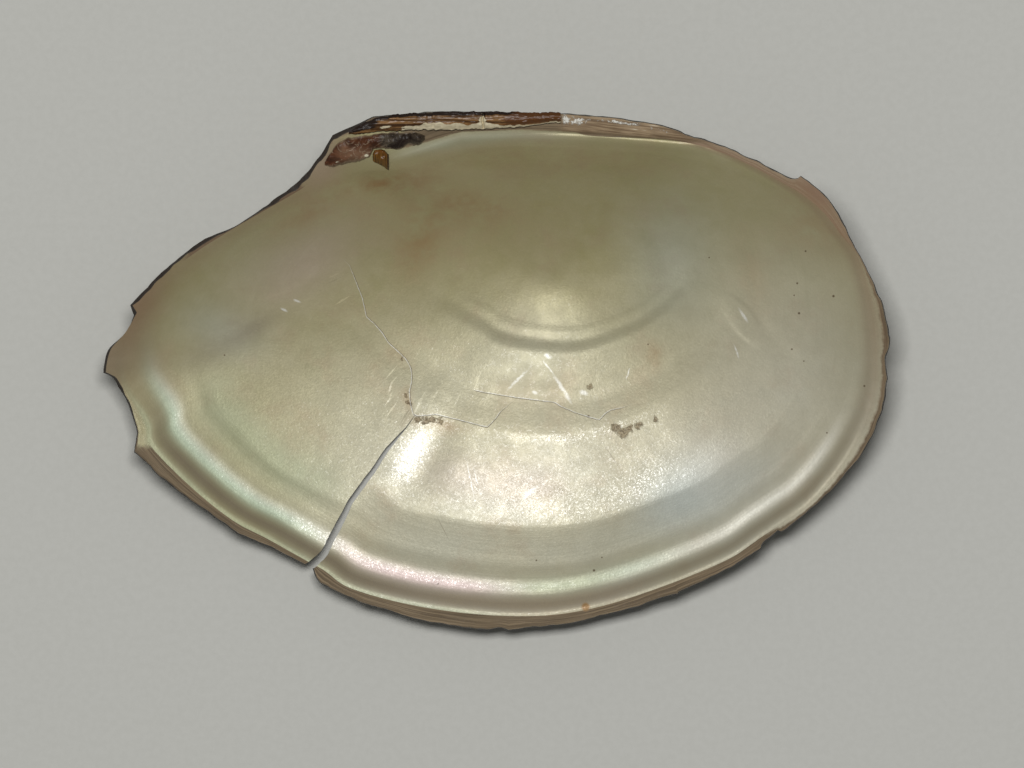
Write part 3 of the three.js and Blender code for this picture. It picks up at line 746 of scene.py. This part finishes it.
    dull = n.larger(n.larger(chalk, crust), n.larger(n.times(border, 0.75), rim[1]))
    clear = n.minus(1.0, dull)
    rough = n.plus(n.ramp(mottle, 0.3, 0.7, 0.46, 0.54), n.times(dull, 0.25))
    metal = n.times(clear, 0.30)
    gloss = n.number("gloss")
    glint = n.ramp(n.noise(place, 900, 5, 0.75), 0.42, 0.66, 0.07, 0.36)
    coat = n.math("MULTIPLY", clear, n.plus(glint, gloss), clamp=True)
    return n.finish(Roughness=rough, Metallic=metal, Normal=n.facets(place, 3000, 0.05, soft),
                    Coat_Weight=coat, Coat_Roughness=0.20, Coat_Normal=n.facets(place, 4200, 0.17, soft),
                    Specular_IOR_Level=0.5)


def broken_edge_material():
    """The broken or grown edge of the wall: thin limy layers under dark horny skin, and at the rear all of it
    darkened as painted shadow.
    """
    n = Nodes("shell_edge")
    place = n.place()
    layer = n.number("layer")
    rear = n.number("rear")
    grain = n.noise(place, 1500, 3, 0.6)
    pale = n.mix(grain, (0.30, 0.24, 0.16), (0.55, 0.50, 0.40))
    dark = n.mix(grain, (0.012, 0.009, 0.006), (0.045, 0.030, 0.020))
    limit = n.minus(wavering(n, layer, n.noise(place, 600, 3, 0.6), 0.35), 0.08)
    # painted shadow: at the rear the whole edge is laid near black
    n.paint = n.mix(n.larger(n.ramp(limit, 0.0, 0.12), n.times(rear, 0.93)), pale, dark)
    return n.finish(Roughness=0.6, Normal=n.bump(grain, 0.0001))


def skin_material():
    """Horny skin of the outside: olive-brown with darker growth lines, worn through at the umbo."""
    n = Nodes("horny_skin")
    place = n.place()
    growth = n.number("growth")
    x, y = n.parts(place)[:2]
    rings = n.noise(n.drawn(x, y, growth, (9, 9, 60)), 1, 5, 0.7)
    broad = n.noise(n.drawn(x, y, growth, (5, 5, 9)), 1, 2, 0.5)
    mottle = n.noise(place, 160, 4, 0.6)
    n.paint = n.mix(n.ramp(broad, 0.3, 0.7), (0.045, 0.034, 0.014), (0.125, 0.095, 0.030))
    n.lay(n.ramp(rings, 0.45, 0.7, 0, 0.8), (0.018, 0.013, 0.008))
    n.lay(n.ramp(mottle, 0.55, 0.8, 0, 0.35), (0.17, 0.13, 0.06))
    ragged = wavering(n, growth, n.noise(place, 130, 4, 0.65), 0.22)
    worn = n.ramp(ragged, 0.07, 0.10, 1, 0)
    n.lay(worn, n.mix(mottle, (0.42, 0.37, 0.27), (0.66, 0.62, 0.52)))
    edge = n.minus(n.ramp(ragged, 0.10, 0.14, 1, 0), worn)
    n.lay(n.larger(edge, 0.0), (0.16, 0.09, 0.035))
    relief = n.bump(rings, 0.0004)
    relief = n.bump(n.noise(place, 1400, 3, 0.6), 0.00008, 1.0, relief)
    relief = n.bump(worn, 0.0003, 1.0, relief)
    rough = n.ramp(mottle, 0.3, 0.7, 0.42, 0.62)
    return n.finish(Roughness=rough, Normal=relief, Specular_IOR_Level=0.45)


# The valve

# Hairline cracks that run on from the open one, and one that crosses the middle, as paths of points
HAIRLINES = [
    [[-16.6, -8.6], [-17.2, -6.0], [-17.4, -3.4], [-16.8, -1.8], [-17.0, 0.8], [-18.0, 2.6], [-19.6, 4.2],
     [-21.6, 6.0], [-23.0, 8.2], [-24.4, 9.8], [-26.0, 11.2], [-26.8, 15.0], [-29.4, 21.6], [-31.2, 23.2]],
    [[-16.6, -8.6], [-15.8, -9.0], [-14.0, -8.8], [-12.2, -8.6], [-9.8, -9.2], [-7.2, -9.8], [-4.2, -10.6],
     [-1.8, -11.2], [-0.6, -10.2], [1.0, -8.0], [3.8, -5.6]],
    [[-4.2, -3.8], [-1.2, -4.4], [3.8, -5.2], [8.6, -5.8], [11.8, -6.2], [13.0, -7.0], [15.8, -8.2],
     [18.2, -9.0], [21.0, -9.8], [21.6, -8.8], [23.0, -7.8], [25.6, -7.2], [28.0, -6.4]],
]


def distance_to_path(x, y, path):
    """Signed distance to the nearest span of a path, and 1 alongside it fading to 0 past its two ends."""
    p = np.asarray(path, float)
    a, d = p[:-1], np.diff(p, axis=0)
    length = np.linalg.norm(d, axis=1)
    rx, ry = x[..., None] - a[:, 0], y[..., None] - a[:, 1]
    t = (rx * d[:, 0] + ry * d[:, 1]) / length**2
    tc = np.clip(t, 0, 1)
    gap = np.hypot(rx - tc * d[:, 0], ry - tc * d[:, 1])
    k = gap.argmin(-1)[..., None]
    side = np.sign(np.take_along_axis(d[:, 0] * ry - d[:, 1] * rx, k, -1)[..., 0])
    run = np.r_[0, np.cumsum(length)]
    place = np.take_along_axis(run[:-1] + t * length, k, -1)[..., 0]
    here = smoothstep(place, -0.3, 0.3) * (1 - smoothstep(place, run[-1] - 6, run[-1]))
    return side * np.take_along_axis(gap, k, -1)[..., 0], here * (gap.min(-1) < 4)


# Soft spots on the pearl: strength, x, y, two radii and turn of each
# Painted iridescent sheen: pink, green and blue spots laid into the pearl's colour
PINK_SHEEN_SPOTS = [(0.24, -38, 22, 12, 6, 30), (0.25, -34.5, 41.4, 3.2, 5.0, -35)]
GREEN_SHEEN_SPOTS = [(0.16, -7.0, 46.0, 12.0, 1.2, 8)]
BLUE_SHEEN_SPOTS = [
    (0.25, -55, 8, 9, 5, -25), (0.5, 36, -25, 10, 6, 35), (0.3, 35, 22, 9, 12, 0), (0.08, 9, 8, 14, 8, 0),
]
STAIN_SPOTS = [
    (0.55, 31.8, 3.4, 1.6, 2.4, 0), (0.45, -16, 24, 4, 7, -20), (0.35, -5, 34, 9, 3, -15),
    (0.3, 64, 30, 10, 4, -48), (0.6, -12.5, -10.6, 5.5, 1.4, -8), (0.35, -39, 31, 9, 3, 35),
    (0.30, -14, 31, 20, 7, -8), (0.45, -24, 37.6, 8, 1.6, 4), (0.24, 51.4, 19.5, 3.0, 8.5, 14),
    (0.16, 58.5, 27.5, 6, 3, -30), (0.10, 44.0, -9.0, 9, 5, 30), (0.40, -18.0, -5.0, 0.9, 2.6, 8),
    (0.30, -19.8, 3.8, 2.6, 0.8, -48),
]
CHALK_SPOTS = [
    (0.75, 13.8, 50.4, 0.8, 1.1, 0), (0.72, 16.2, 49.9, 2.0, 0.9, 0), (0.46, 23, 50.0, 6, 0.6, -4),
    (0.42, 29, 49.0, 6, 0.5, -8), (0.40, 14.6, 52.0, 2.4, 0.6, 0), (0.4, 36, 47.6, 4, 0.3, -10),
]
# Greyish dull spots: real smudges towards the rear end, and painted shade over the ring near the middle (the
# two at x 9)
GREY_AND_SHADE_SPOTS = [
    (0.46, -49.0, 8.6, 5.0, 1.9, 28), (0.24, -58, 3.6, 7, 3, 30), (0.22, -70.6, 4.8, 3.5, 5.0, 0),
    (0.38, -77.0, 2.0, 3.5, 6.0, 0), (0.14, 9, 10, 13, 6, 0), (0.07, 9, -3, 18, 6, 0),
]
LESS_OLIVE_SPOTS = [
    (0.55, -9.0, 45.6, 10.0, 1.8, 8), (0.35, 8.0, 47.0, 9.0, 1.3, 3), (0.15, 9, 4, 18, 14, 0),
    (0.30, 58, 2, 26, 26, 0),
]
GLOSS_SPOTS = [
    (1.0, -17.2, -16.5, 3.0, 6.0, -32), (0.25, 6, -24, 14, 5, 0), (0.50, 31, -21, 8, 4, 25),
    (-0.28, 9, 11, 14, 6, 0), (-0.15, 8, -2, 18, 5, 0), (-0.1, 0, -34, 30, 5, 0),
]
# Painted glare: whitish spots where the glare lies
PAINTED_GLARE_SPOTS = [
    (0.26, 60, 4, 20, 26, 0), (0.22, 50, -26, 16, 12, 35), (0.50, 42, -20, 9, 6, 35),
    (0.15, -42, 24, 16, 10, 35), (0.65, -17.4, -16.5, 2.6, 5.0, -32),
]
HALO_SPOTS = [(0.75, 63.5, 36.2, 5.0, 2.2, -45), (0.20, -32.0, 42.5, 7.0, 4.5, 40)]
# Bands along the rest lines: strength, share, width, and the two directions between which each runs
# Painted iridescent sheen: pink, green and blue bands laid into the pearl's colour
PINK_SHEEN_BANDS = [(0.55, 0.94, 0.016, -33, -12), (0.18, 0.70, 0.05, -28, -6), (0.2, 0.975, 0.02, -30, 8)]
GREEN_SHEEN_BANDS = [
    (0.50, 0.945, 0.016, -66, -38), (0.25, 0.998, 0.006, -66, -14), (0.28, 0.935, 0.02, -12, 12),
    (0.25, 0.85, 0.05, -62, -40),
]
BLUE_SHEEN_BANDS = [(0.12, 0.97, 0.02, 0, 30), (0.26, 0.86, 0.05, 16, 34), (0.10, 0.86, 0.05, -30, 16)]
# painted glints: whitish bands along a rest line near the lip
PAINTED_GLINT_BANDS = [(0.68, 0.937, 0.016, -66, -10), (0.60, 0.937, 0.016, 4, 45)]


def bands(share, off, soft, rows):
    """The sum of bands: bell curves across, and soft ends that many degrees to both sides of each limit."""
    return sum(strength * bell(share, at, width) * window(off, a - soft, a + soft, b - soft, b + soft)
               for strength, at, width, a, b in rows)


def painted_sheen_tints(x, y, share, beyond):
    """Where the pearl's pink, green or blue shimmer is laid into its colour as painted iridescent sheen:
    bands along the rest lines near the lip, between two directions from the umbo, and a few soft spots."""
    off = np.degrees(direction_off(x, y))
    kinds = ((PINK_SHEEN_BANDS, PINK_SHEEN_SPOTS), (GREEN_SHEEN_BANDS, GREEN_SHEEN_SPOTS), (BLUE_SHEEN_BANDS, BLUE_SHEEN_SPOTS))
    tints = [bands(share + 0.02 * beyond, off, 6, along) + blots(x, y, soft) for along, soft in kinds]
    return np.stack(tints, -1).clip(0, 1)


def pearl_marks(x, y, share, beyond):
    """Where the pearl is stained brown, chalky white, or dull and greyish: sums of soft spots, for the first
    a bell curve along the hinge, which is painted shade, and for the last one across the groove along the
    lip, which is painted shade; some dull spots are real greyish smudges."""
    off = np.degrees(direction_off(x, y))
    # painted shade: a brown band just inside the edge of the pearl under the hinge
    at_hinge = bell(out_of_hinge(x, y), -4.2, 3.2) * window(x, -30, -20, 25, 45)
    # painted shade: the groove along the lip darkened in colour
    groove = bell(share, 0.974, 0.0145) * (beyond == 0)
    groove *= (1 - smoothstep(-off, 54, 66)) * (1 - 0.8 * smoothstep(off, 28, 58))
    stain = blots(x, y, STAIN_SPOTS) + 0.26 * at_hinge
    dull = blots(x, y, GREY_AND_SHADE_SPOTS) + (0.62 + 0.22 * smoothstep(-off, 18, 34)) * groove
    return np.stack([stain, blots(x, y, CHALK_SPOTS), dull], -1).clip(0, 1)


def border_brown(x, y, beyond):
    """Where the border is brown: from the edge of the pearl outwards, but along the hinge only outside the
    ligament's line, and round the notch only near the lip."""
    plain = smoothstep(beyond, -0.03, 0.08)
    hinge = window(x, -21, -18, 15, 19) * smoothstep(y, 40, 43)
    notch = window(-x, 17, 21, 37, 41) * smoothstep(y, 35, 38)
    front = smoothstep(x, 48, 62) * (1 - smoothstep(y, 20, 32))
    plain = lerp(plain, 0.15 + 0.75 * smoothstep(beyond, 0.1, 1.0), front * (beyond > 0))
    out = out_of_hinge(x, y)
    there = lerp(plain, 0.8 * smoothstep(out, 0.45, 0.95), hinge)
    tip = smoothstep(-x, 58, 66) * smoothstep(y, -18, -12)
    return lerp(there, smoothstep(beyond, 0.78, 0.95), np.maximum(notch, tip))


def rim_tones(x, y, share, beyond):
    """Where the border is pinkish, where it is the streaky shelf of the hinge, and where a brown stain
    reaches in over the edge of the pearl."""
    off = np.degrees(direction_off(x, y))
    front = smoothstep(x, 36, 44) * smoothstep(y, 15, 30)
    out = out_of_hinge(x, y)
    shelf = window(x, 12, 14, 36, 46) * smoothstep(out, 0.55, 0.95)
    halo = 0.42 * smoothstep(share, 0.93, 1.0) * window(off, 30, 70, 105, 120) * (1 - beyond)
    rear = smoothstep(-off, 60, 76) * (1 - smoothstep(x, -34, -24))
    halo = np.maximum(halo, (0.34 + 0.45 * smoothstep(-x, 62, 73)) * smoothstep(share, 0.88, 1.0) * rear)
    for row in HALO_SPOTS:
        halo = np.maximum(halo, blots(x, y, [row]))
    return np.stack([front, shelf, halo], -1).clip(0, 1)


def olive_and_shade_depth(x, y):
    """How olive and dark the pearl is: partly the real olive stain of the umbo's hollow, partly painted
    shade, most on the steep side under the hinge and towards the rear end, least in the lower half, with
    noise and some soft spots where it is less so."""
    toward_hinge = smoothstep(y, -24, 27)
    ends = 0.60 * smoothstep(-x, 18, 55) * (1 - toward_hinge)
    deep = 0.10 + 0.85 * toward_hinge + ends + 0.12 * lattice_noise(x, y, 17, 51)
    return np.clip(deep - blots(x, y, LESS_OLIVE_SPOTS), 0, 1)


def gloss_patches(x, y, share):
    """Where the pearl is polished or less so: soft spots, and bands just inside three rest lines."""
    off = np.degrees(direction_off(x, y))
    gloss = blots(x, y, GLOSS_SPOTS) + 0.5 * bell(share, 0.594, 0.010) * window(off, -22, -8, 8, 25)
    gloss += 0.25 * bell(share, 0.765, 0.035) * window(off, -24, -10, 18, 40)
    gloss += 0.42 * bell(share, 0.937, 0.014) * window(off, -66, -56, -16, -6)
    return gloss.clip(-0.3, 1)


def pale_crest_and_glare(x, y, share):
    """Where the pearl is painted whitish: painted glare over the middle, the pale crest at the hinge, painted
    glints in bands along the lip, and soft spots of painted glare."""
    off = np.degrees(direction_off(x, y))
    # painted glare over the level part of the middle
    pale = 0.10 * window(share, 0.58, 0.62, 0.775, 0.80) * window(off, -30, -12, 15, 35)
    crest = bell(out_of_hinge(x, y), -0.1, 0.85) * smoothstep(y, 40, 42)
    pale += 0.20 * crest * window(x, -24, -16, 2, 16)
    return (pale + bands(share, off, 5, PAINTED_GLINT_BANDS) + blots(x, y, PAINTED_GLARE_SPOTS)).clip(0, 1)


IN_PEARL, ON_EDGE, ON_SKIN = range(3)  # places in the valve's list of materials


def valve_faces(rows, columns):
    """Faces of the valve with the material of each, as indices into both grids and the two poles: fans
    round the umbo, quads between the rows, and the walls of lip and crack."""
    tip = int(np.argmin(np.abs(SHARES - CRACK_TIP)))
    size = rows * columns
    inner = np.arange(size).reshape(rows, columns)
    inner[: tip + 1, -1] = inner[: tip + 1, 0]
    outer = inner + size
    pole = np.full(columns - 1, 2 * size)
    parts = [
        (IN_PEARL, np.stack([pole, inner[0, :-1], inner[0, 1:]], -1)),
        (ON_SKIN, np.stack([pole + 1, outer[0, 1:], outer[0, :-1]], -1)),
        (IN_PEARL, strips(inner)),
        (ON_SKIN, strips(outer)[:, ::-1]),
        (ON_EDGE, strips(np.stack([inner[-1], outer[-1]]))),
        (ON_EDGE, strips(np.stack([inner[tip:, 0], outer[tip:, 0]]))),
        (ON_EDGE, strips(np.stack([inner[tip:, -1], outer[tip:, -1]]))[:, ::-1]),
    ]
    faces = [face for _, part in parts for face in part.tolist()]
    return faces, np.concatenate([np.full(len(part), kind) for kind, part in parts])


def make_valve():
    """Both faces of the valve as one grid each, a fan round the umbo, and the walls of lip and crack."""
    inner_plan, share, inner_beyond = plan_grid(INSIDE_END)
    outer_plan, _, outer_beyond = plan_grid(np.ones_like(INSIDE_END))
    u, v = UMBO[:1], UMBO[1:]
    sides, poles = [], []
    for plan, height in ((inner_plan, inside_height), (outer_plan, outside_height)):
        x, y = plan[..., 0], plan[..., 1]
        sides.append(np.dstack([x, y, height(x, y, share)]).reshape(-1, 3))
        poles.append([*UMBO, height(u, v, np.zeros(1))[0]])
    points = np.concatenate([*sides, poles])

    faces, material = valve_faces(*share.shape)
    used = np.unique([i for face in faces for i in face])
    fresh = np.full(len(points), -1)
    fresh[used] = np.arange(len(used))
    faces = [fresh[face].tolist() for face in faces]

    points = points[used]
    x, y = points[:, 0], points[:, 1]
    layer = np.r_[np.zeros(share.size), np.ones(share.size), 0, 1][used]
    share = np.r_[share.ravel(), share.ravel(), 0, 0][used]
    beyond = np.r_[inner_beyond.ravel(), outer_beyond.ravel(), 0, 0][used]
    lines = [distance_to_path(x, y, path) for path in HAIRLINES]
    attributes = {
        "growth": share + beyond,
        "layer": layer,
        "sheen_tint": painted_sheen_tints(x, y, share, beyond),
        "mark": pearl_marks(x, y, share, beyond),
        "rim": rim_tones(x, y, share, beyond),
        "olive": olive_and_shade_depth(x, y),
        "brown": border_brown(x, y, beyond),
        "gloss": gloss_patches(x, y, share),
        "pale": pale_crest_and_glare(x, y, share),
        # where the edge is painted near black as shadow
        "rear": smoothstep(-x, 18, 30) * smoothstep(y, -34, -22),
        "hairline": np.stack([a for a, _ in lines], -1),
        "hairline_here": np.stack([b for _, b in lines], -1),
    }
    materials = [pearl_material(), broken_edge_material(), skin_material()]
    made = build_mesh("pearly_valve", points, faces, materials, material, attributes, sharp=42)
    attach(made, "root")
    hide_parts("valve")
    return made


make_valve()

# The pieces that lie by the hinge

# Stations along +X: place, inner side, outer side, thickness
LIGAMENT = [
    (-29.4, 47.5, 48.2, 0.35), (-27.5, 47.4, 49.1, 0.8), (-24.0, 47.9, 50.7, 1.2), (-18.0, 48.2, 51.6, 1.4),
    (-7.0, 48.2, 51.9, 1.4), (4.0, 48.8, 51.9, 1.3), (12.9, 49.7, 51.7, 1.2),
]
TISSUE = [
    (-34.2, 41.2, 42.0, 0.2), (-33.2, 40.9, 43.6, 0.5), (-31.6, 41.2, 45.6, 1.0), (-29.5, 41.8, 46.8, 1.5),
    (-27.2, 42.1, 47.0, 1.2), (-25.2, 43.0, 47.2, 1.4), (-24.4, 44.6, 47.4, 1.2), (-21.4, 44.6, 47.7, 1.1),
    (-19.2, 44.5, 47.8, 0.8), (-17.6, 45.5, 47.7, 0.45), (-16.4, 45.2, 47.8, 0.9), (-15.0, 45.5, 47.7, 0.8),
    (-14.2, 46.2, 47.2, 0.2),
]
SCRAP = [
    (-24.6, 42.2, 43.6, 0.4), (-24.2, 41.9, 44.3, 0.9), (-23.2, 41.4, 44.4, 1.3), (-22.2, 40.8, 44.2, 1.2),
    (-21.4, 40.3, 43.4, 0.6),
]
# Grey-black, pink and pale spots on the tissue, one of the pale ones a painted glint: strength, x, y, two
# radii and turn of each
TISSUE_SPOTS = [
    [(1.2, -20.2, 46.2, 3.4, 2.6, 0), (1.0, -15.8, 46.8, 2.2, 1.8, 0)],
    [(0.9, -27.6, 43.4, 3.2, 1.3, 0), (0.5, -30.5, 44.6, 1.0, 1.6, 0)],
    [(0.9, -25.8, 43.2, 0.5, 0.4, 0), (0.55, -31.6, 42.0, 2.4, 0.4, 25)],
]
LIFT = 0.15  # the pieces lie that far above the valve
LEAST_THICK = 0.08
CROWN_AT_SIDE = 0.35


def laid_piece(name, node, stations, counts, sides, relief, zones, material):
    """A strip that lies on the valve. Parameters: place along it and v from -1 to 1 across it. Its under
    side is the inside of the valve plus a small lift; its upper side adds the thickness times a crown
    that falls from 1 to 0.35 with the square of v, and the relief. A ragged rim closes it all round."""
    table = np.asarray(stations)
    along = np.linspace(table[0, 0], table[-1, 0], counts[0])
    v = np.linspace(-1, 1, counts[1])
    inner, outer, thick = (np.interp(along, table[:, 0], table[:, k]) for k in (1, 2, 3))
    inner = inner + sides * (line_noise(along, 0.9, 61) + 0.6 * line_noise(along, 0.4, 62))
    outer = outer + sides * (line_noise(along, 1.1, 63) + 0.6 * line_noise(along, 0.4, 64))
    y = lerp(inner[:, None], outer[:, None], (v + 1) / 2)
    x = np.repeat(along[:, None], len(v), 1)
    under = inside_height(x, y, np.ones_like(x)) + LIFT
    body = thick[:, None] * lerp(CROWN_AT_SIDE, 1, 1 - v**2)
    body += relief(x, y, v[None]) * smoothstep(1 - np.abs(v), -0.05, 0.3)
    over = under + np.maximum(LEAST_THICK, body)
    points = np.concatenate([np.dstack([x, y, over]).reshape(-1, 3), np.dstack([x, y, under]).reshape(-1, 3)])
    top = np.arange(x.size).reshape(x.shape)
    loop = np.concatenate([top[:, 0], top[-1, 1:], top[-2::-1, -1], top[0, -2::-1]])
    wall = strips(np.stack([loop, loop + x.size]))
    faces = np.concatenate([strips(top), strips(top + x.size)[:, ::-1], wall])
    px, py = points[:, 0], points[:, 1]
    across = np.tile((v + 1) / 2, 2 * len(along))
    attributes = {"across": across, "zone": zones(px, py, across)}
    made = build_mesh(name, points, faces.tolist(), [material], None, attributes, sharp=50)
    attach(made, "root")
    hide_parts(node)
    return made


def ligament_relief(x, y, v):
    """Long lamellae: noise drawn out along the hinge, flaking on the inner side, and one crack across."""
    lamellae = 0.12 * lattice_noise(x * 0.12, y, 0.55, 71) + 0.035 * lattice_noise(x * 0.3, y, 0.2, 72)
    flaking = 0.18 * lattice_noise(x, y, 0.6, 73) * smoothstep(-v, 0.0, 0.3)
    crack = -0.8 * np.exp(-(((x + 2.6 + 0.25 * line_noise(y, 0.8, 74)) / 0.22) ** 2))
    return lamellae + flaking + crack


def ligament_zones(x, y, across):
    """Where the ligament is flaked white, rusty or nearly black, by the place across and along it."""
    wide = lerp(0.38, 0.12, smoothstep(x, -1, 4)) * (1 + 0.45 * line_noise(x, 1.4, 75))
    white = (1 - smoothstep(across, wide - 0.06, wide + 0.08)) * smoothstep(x, -21, -17)
    white = np.maximum(white, blot(x, across, (-2.7, 0.5), (0.9, 0.4)))
    white = np.maximum(white, 0.9 * blot(x, y, (-22.0, 48.9), (2.0, 0.4), 12))
    rust = smoothstep(x, -3.0, 7.0) * smoothstep(across, 0.12, 0.25)
    black = smoothstep(across, 0.74, 0.88) * (1 - 0.6 * rust)
    black += 0.8 * (1 - smoothstep(x, -26, -21)) * (across > 0.3)
    return np.stack([white, rust, black], -1).clip(0, 1)


def ligament_material():
    """Glossy amber-brown horn in long streaks, nearly black outside, white where it flakes, with a painted
    shadow along its inner edge.
    """
    n = Nodes("horny_ligament")
    place = n.place()
    zone = n.three("zone")
    x, y, z = n.parts(place)
    streak = n.noise(n.drawn(x, y, z, (90, 2200, 700)), 1, 3, 0.55)
    ragged = n.noise(place, 1100, 4, 0.7)
    n.paint = n.mix(n.ramp(streak, 0.35, 0.65), (0.055, 0.024, 0.009), (0.30, 0.16, 0.06))
    rust = n.ramp(wavering(n, wavering(n, zone[1], ragged, 0.3), streak, 1.1), 0.4, 0.6)
    n.lay(rust, n.mix(streak, (0.045, 0.018, 0.006), (0.165, 0.066, 0.020)))
    n.lay(n.ramp(wavering(n, zone[2], streak, 0.8), 0.35, 0.6), (0.022, 0.013, 0.009))
    white = n.ramp(wavering(n, wavering(n, zone[0], ragged, 0.9), streak, 1.1), 0.52, 0.66)
    n.lay(white, n.mix(streak, (0.50, 0.41, 0.25), (0.80, 0.72, 0.52)))
    # painted shadow: a dark line along the inner edge of the ligament
    n.lay(n.ramp(n.number("across"), 0.02, 0.07, 1, 0), (0.05, 0.032, 0.018))
    relief = n.bump(streak, 0.00010)
    relief = n.bump(white, 0.0001, 1.0, relief)
    rough = n.plus(0.32, n.times(white, 0.3))
    return n.finish(Roughness=rough, Normal=relief, Specular_IOR_Level=0.25)


def tissue_relief(x, y, v):
    """Wrinkles as noise folded at zero, and one round lump at the front."""
    folds = 0.50 * (0.5 - np.abs(lattice_noise(x, y, 1.5, 81)))
    folds += 0.14 * (0.5 - np.abs(lattice_noise(x, y, 0.6, 82)))
    lump = 0.9 * np.sqrt(np.clip(1 - ((x + 15.8) / 1.5) ** 2 - ((y - 46.6) / 1.2) ** 2, 0, 1))
    return folds + lump


def tissue_zones(x, y, across):
    """Where the tissue is grey-black, pink or pale, as soft spots; one pale spot is a painted glint."""
    return np.stack([blots(x, y, rows) for rows in TISSUE_SPOTS], -1).clip(0, 1)


def tissue_material():
    """Dried flesh: dark red-brown, violet-grey at the front, pink inside, thin and pale at its rims, with
    pale threads where a noise is close to its middle value."""
    n = Nodes("dried_tissue")
    place = n.place()
    zone = n.three("zone")
    across = n.number("across")
    fleck = n.noise(place, 900, 4, 0.6)
    fold = n.noise(place, 420, 3, 0.55, 0.6)
    n.paint = n.mix(n.ramp(fold, 0.35, 0.65), (0.042, 0.014, 0.006), (0.130, 0.048, 0.021))
    n.lay(zone[1], n.mix(fleck, (0.165, 0.076, 0.038), (0.30, 0.180, 0.110)))
    grey = n.mix(n.ramp(fold, 0.35, 0.7), (0.018, 0.011, 0.008), (0.088, 0.069, 0.048))
    n.lay(n.ramp(wavering(n, zone[0], fold, 0.7), 0.3, 0.7), grey)
    thread = n.ramp(n.apart(n.noise(place, 330, 3, 0.5, 1.2), 0.5), 0.004, 0.022, 1, 0)
    n.lay(n.times(thread, n.minus(0.48, n.times(zone[0], 0.4))), (0.42, 0.32, 0.22))
    # pale spots: a pale streak, and a painted glint
    n.lay(n.ramp(wavering(n, zone[2], fleck, 0.9), 0.5, 0.65), (0.80, 0.74, 0.55))
    rim = n.ramp(wavering(n, n.apart(across, 0.5), fold, 0.25), 0.36, 0.50)
    n.lay(n.times(rim, 0.8), (0.20, 0.150, 0.095))
    return n.finish(Roughness=0.42, Normal=n.bump(fleck, 0.00008), Specular_IOR_Level=0.22)


def scrap_relief(x, y, v):
    """A curl that rises towards +X, with folds of noise."""
    return 0.35 * smoothstep(x, -24.2, -22.2) + 0.3 * lattice_noise(x, y, 0.9, 91)


def scrap_zones(x, y, across):
    """Where the scrap is dark or orange, by its height across and its front side, and where a painted glint
    lies as a pale spot.
    """
    dark = smoothstep(x, -22.0, -21.5) * 0.9 + 0.7 * smoothstep(across, 0.9, 1.0)
    orange = smoothstep(across, 0.6, 0.9)
    return np.stack([dark, orange, 0.5 * blot(x, y, (-23.4, 43.2), (0.4, 0.5))], -1).clip(0, 1)


def scrap_material():
    """Translucent amber horn, orange above and dark along its front side, with a painted glint."""
    n = Nodes("amber_horn")
    place = n.place()
    zone = n.three("zone")
    x, y = n.parts(place)[:2]
    drawn = n.vector(n.times(x, 3600), n.times(y, 260), 0.0)
    fleck = n.noise(drawn, 1, 3, 0.6)
    n.paint = n.mix(n.ramp(fleck, 0.35, 0.65), (0.070, 0.027, 0.004), (0.195, 0.090, 0.014))
    n.lay(zone[1], (0.15, 0.058, 0.010))
    n.lay(n.ramp(wavering(n, zone[0], fleck, 0.5), 0.35, 0.6), (0.05, 0.022, 0.008))
    # painted glint: a pale spot on the scrap
    n.lay(n.ramp(wavering(n, zone[2], fleck, 0.6), 0.5, 0.65), (0.70, 0.55, 0.30))
    return n.finish(Roughness=0.32, Normal=n.bump(fleck, 0.00005), Specular_IOR_Level=0.30)


laid_piece("amber_ligament", "hinge_ligament", LIGAMENT, (520, 34), 0.14,
           ligament_relief, ligament_zones, ligament_material())
laid_piece("shrivelled_flesh", "dried_tissue", TISSUE, (240, 60), 0.14,
           tissue_relief, tissue_zones, tissue_material())
laid_piece("torn_scrap", "ligament_scrap", SCRAP, (40, 50), 0.12,
           scrap_relief, scrap_zones, scrap_material())

# Stage, light and camera


def make_floor():
    """A wide sheet of pale paper under the shell."""
    side = 1500.0
    points = np.array([[-side, -side, 0], [side, -side, 0], [side, side, 0], [-side, side, 0]])
    n = Nodes("paper")
    place = n.place()
    fibre = n.noise(place, 700, 4, 0.6)
    n.paint = n.mix(n.ramp(fibre, 0.3, 0.7), (0.565, 0.562, 0.52), (0.585, 0.582, 0.54))
    paper = n.finish(Roughness=0.9, Normal=n.bump(fibre, 0.00005))
    floor = build_mesh("paper_floor", points, [[0, 1, 2, 3]], [paper])


def area_light(name, place, aim, size, power):
    """A soft lamp at a place that looks at another."""
    lamp = bpy.data.lights.new(name, "AREA")
    lamp.shape = "RECTANGLE"
    lamp.size, lamp.size_y = size
    lamp.energy = power
    made = bpy.data.objects.new(name, lamp)
    made.location = place
    made.rotation_euler = (Vector(place) - Vector(aim)).to_track_quat("Z", "Y").to_euler()
    bpy.context.scene.collection.objects.link(made)


def make_light():
    """One soft lamp beside the camera's line of sight, a little towards the hinge, and even room light."""
    area_light("lamp", (-0.04, 0.185, 1.5), (0.0, 0.0, 0.0), (0.42, 0.24), 14.8)
    world = bpy.data.worlds.new("room")
    world.use_nodes = True
    colour, strength = world.node_tree.nodes["Background"].inputs[:2]
    colour.default_value = (0.98, 1.0, 1.0, 1)
    strength.default_value = 0.12
    bpy.context.scene.world = world


def make_camera():
    """Straight above the shell, far enough away that heights hardly shift."""
    away = 3.0
    lip_level = 0.025
    picture_width = 0.2048  # metres across the photograph at the level of the lip
    camera = bpy.data.cameras.new("camera")
    camera.sensor_width = 36
    camera.lens = camera.sensor_width * (away - lip_level) / picture_width
    camera.clip_end = 10
    made = bpy.data.objects.new("camera", camera)
    made.location = (0.0032, -0.0024, away)
    bpy.context.scene.collection.objects.link(made)
    bpy.context.scene.camera = made


make_floor()
make_light()
make_camera()
bpy.context.scene.view_settings.view_transform = "Standard"
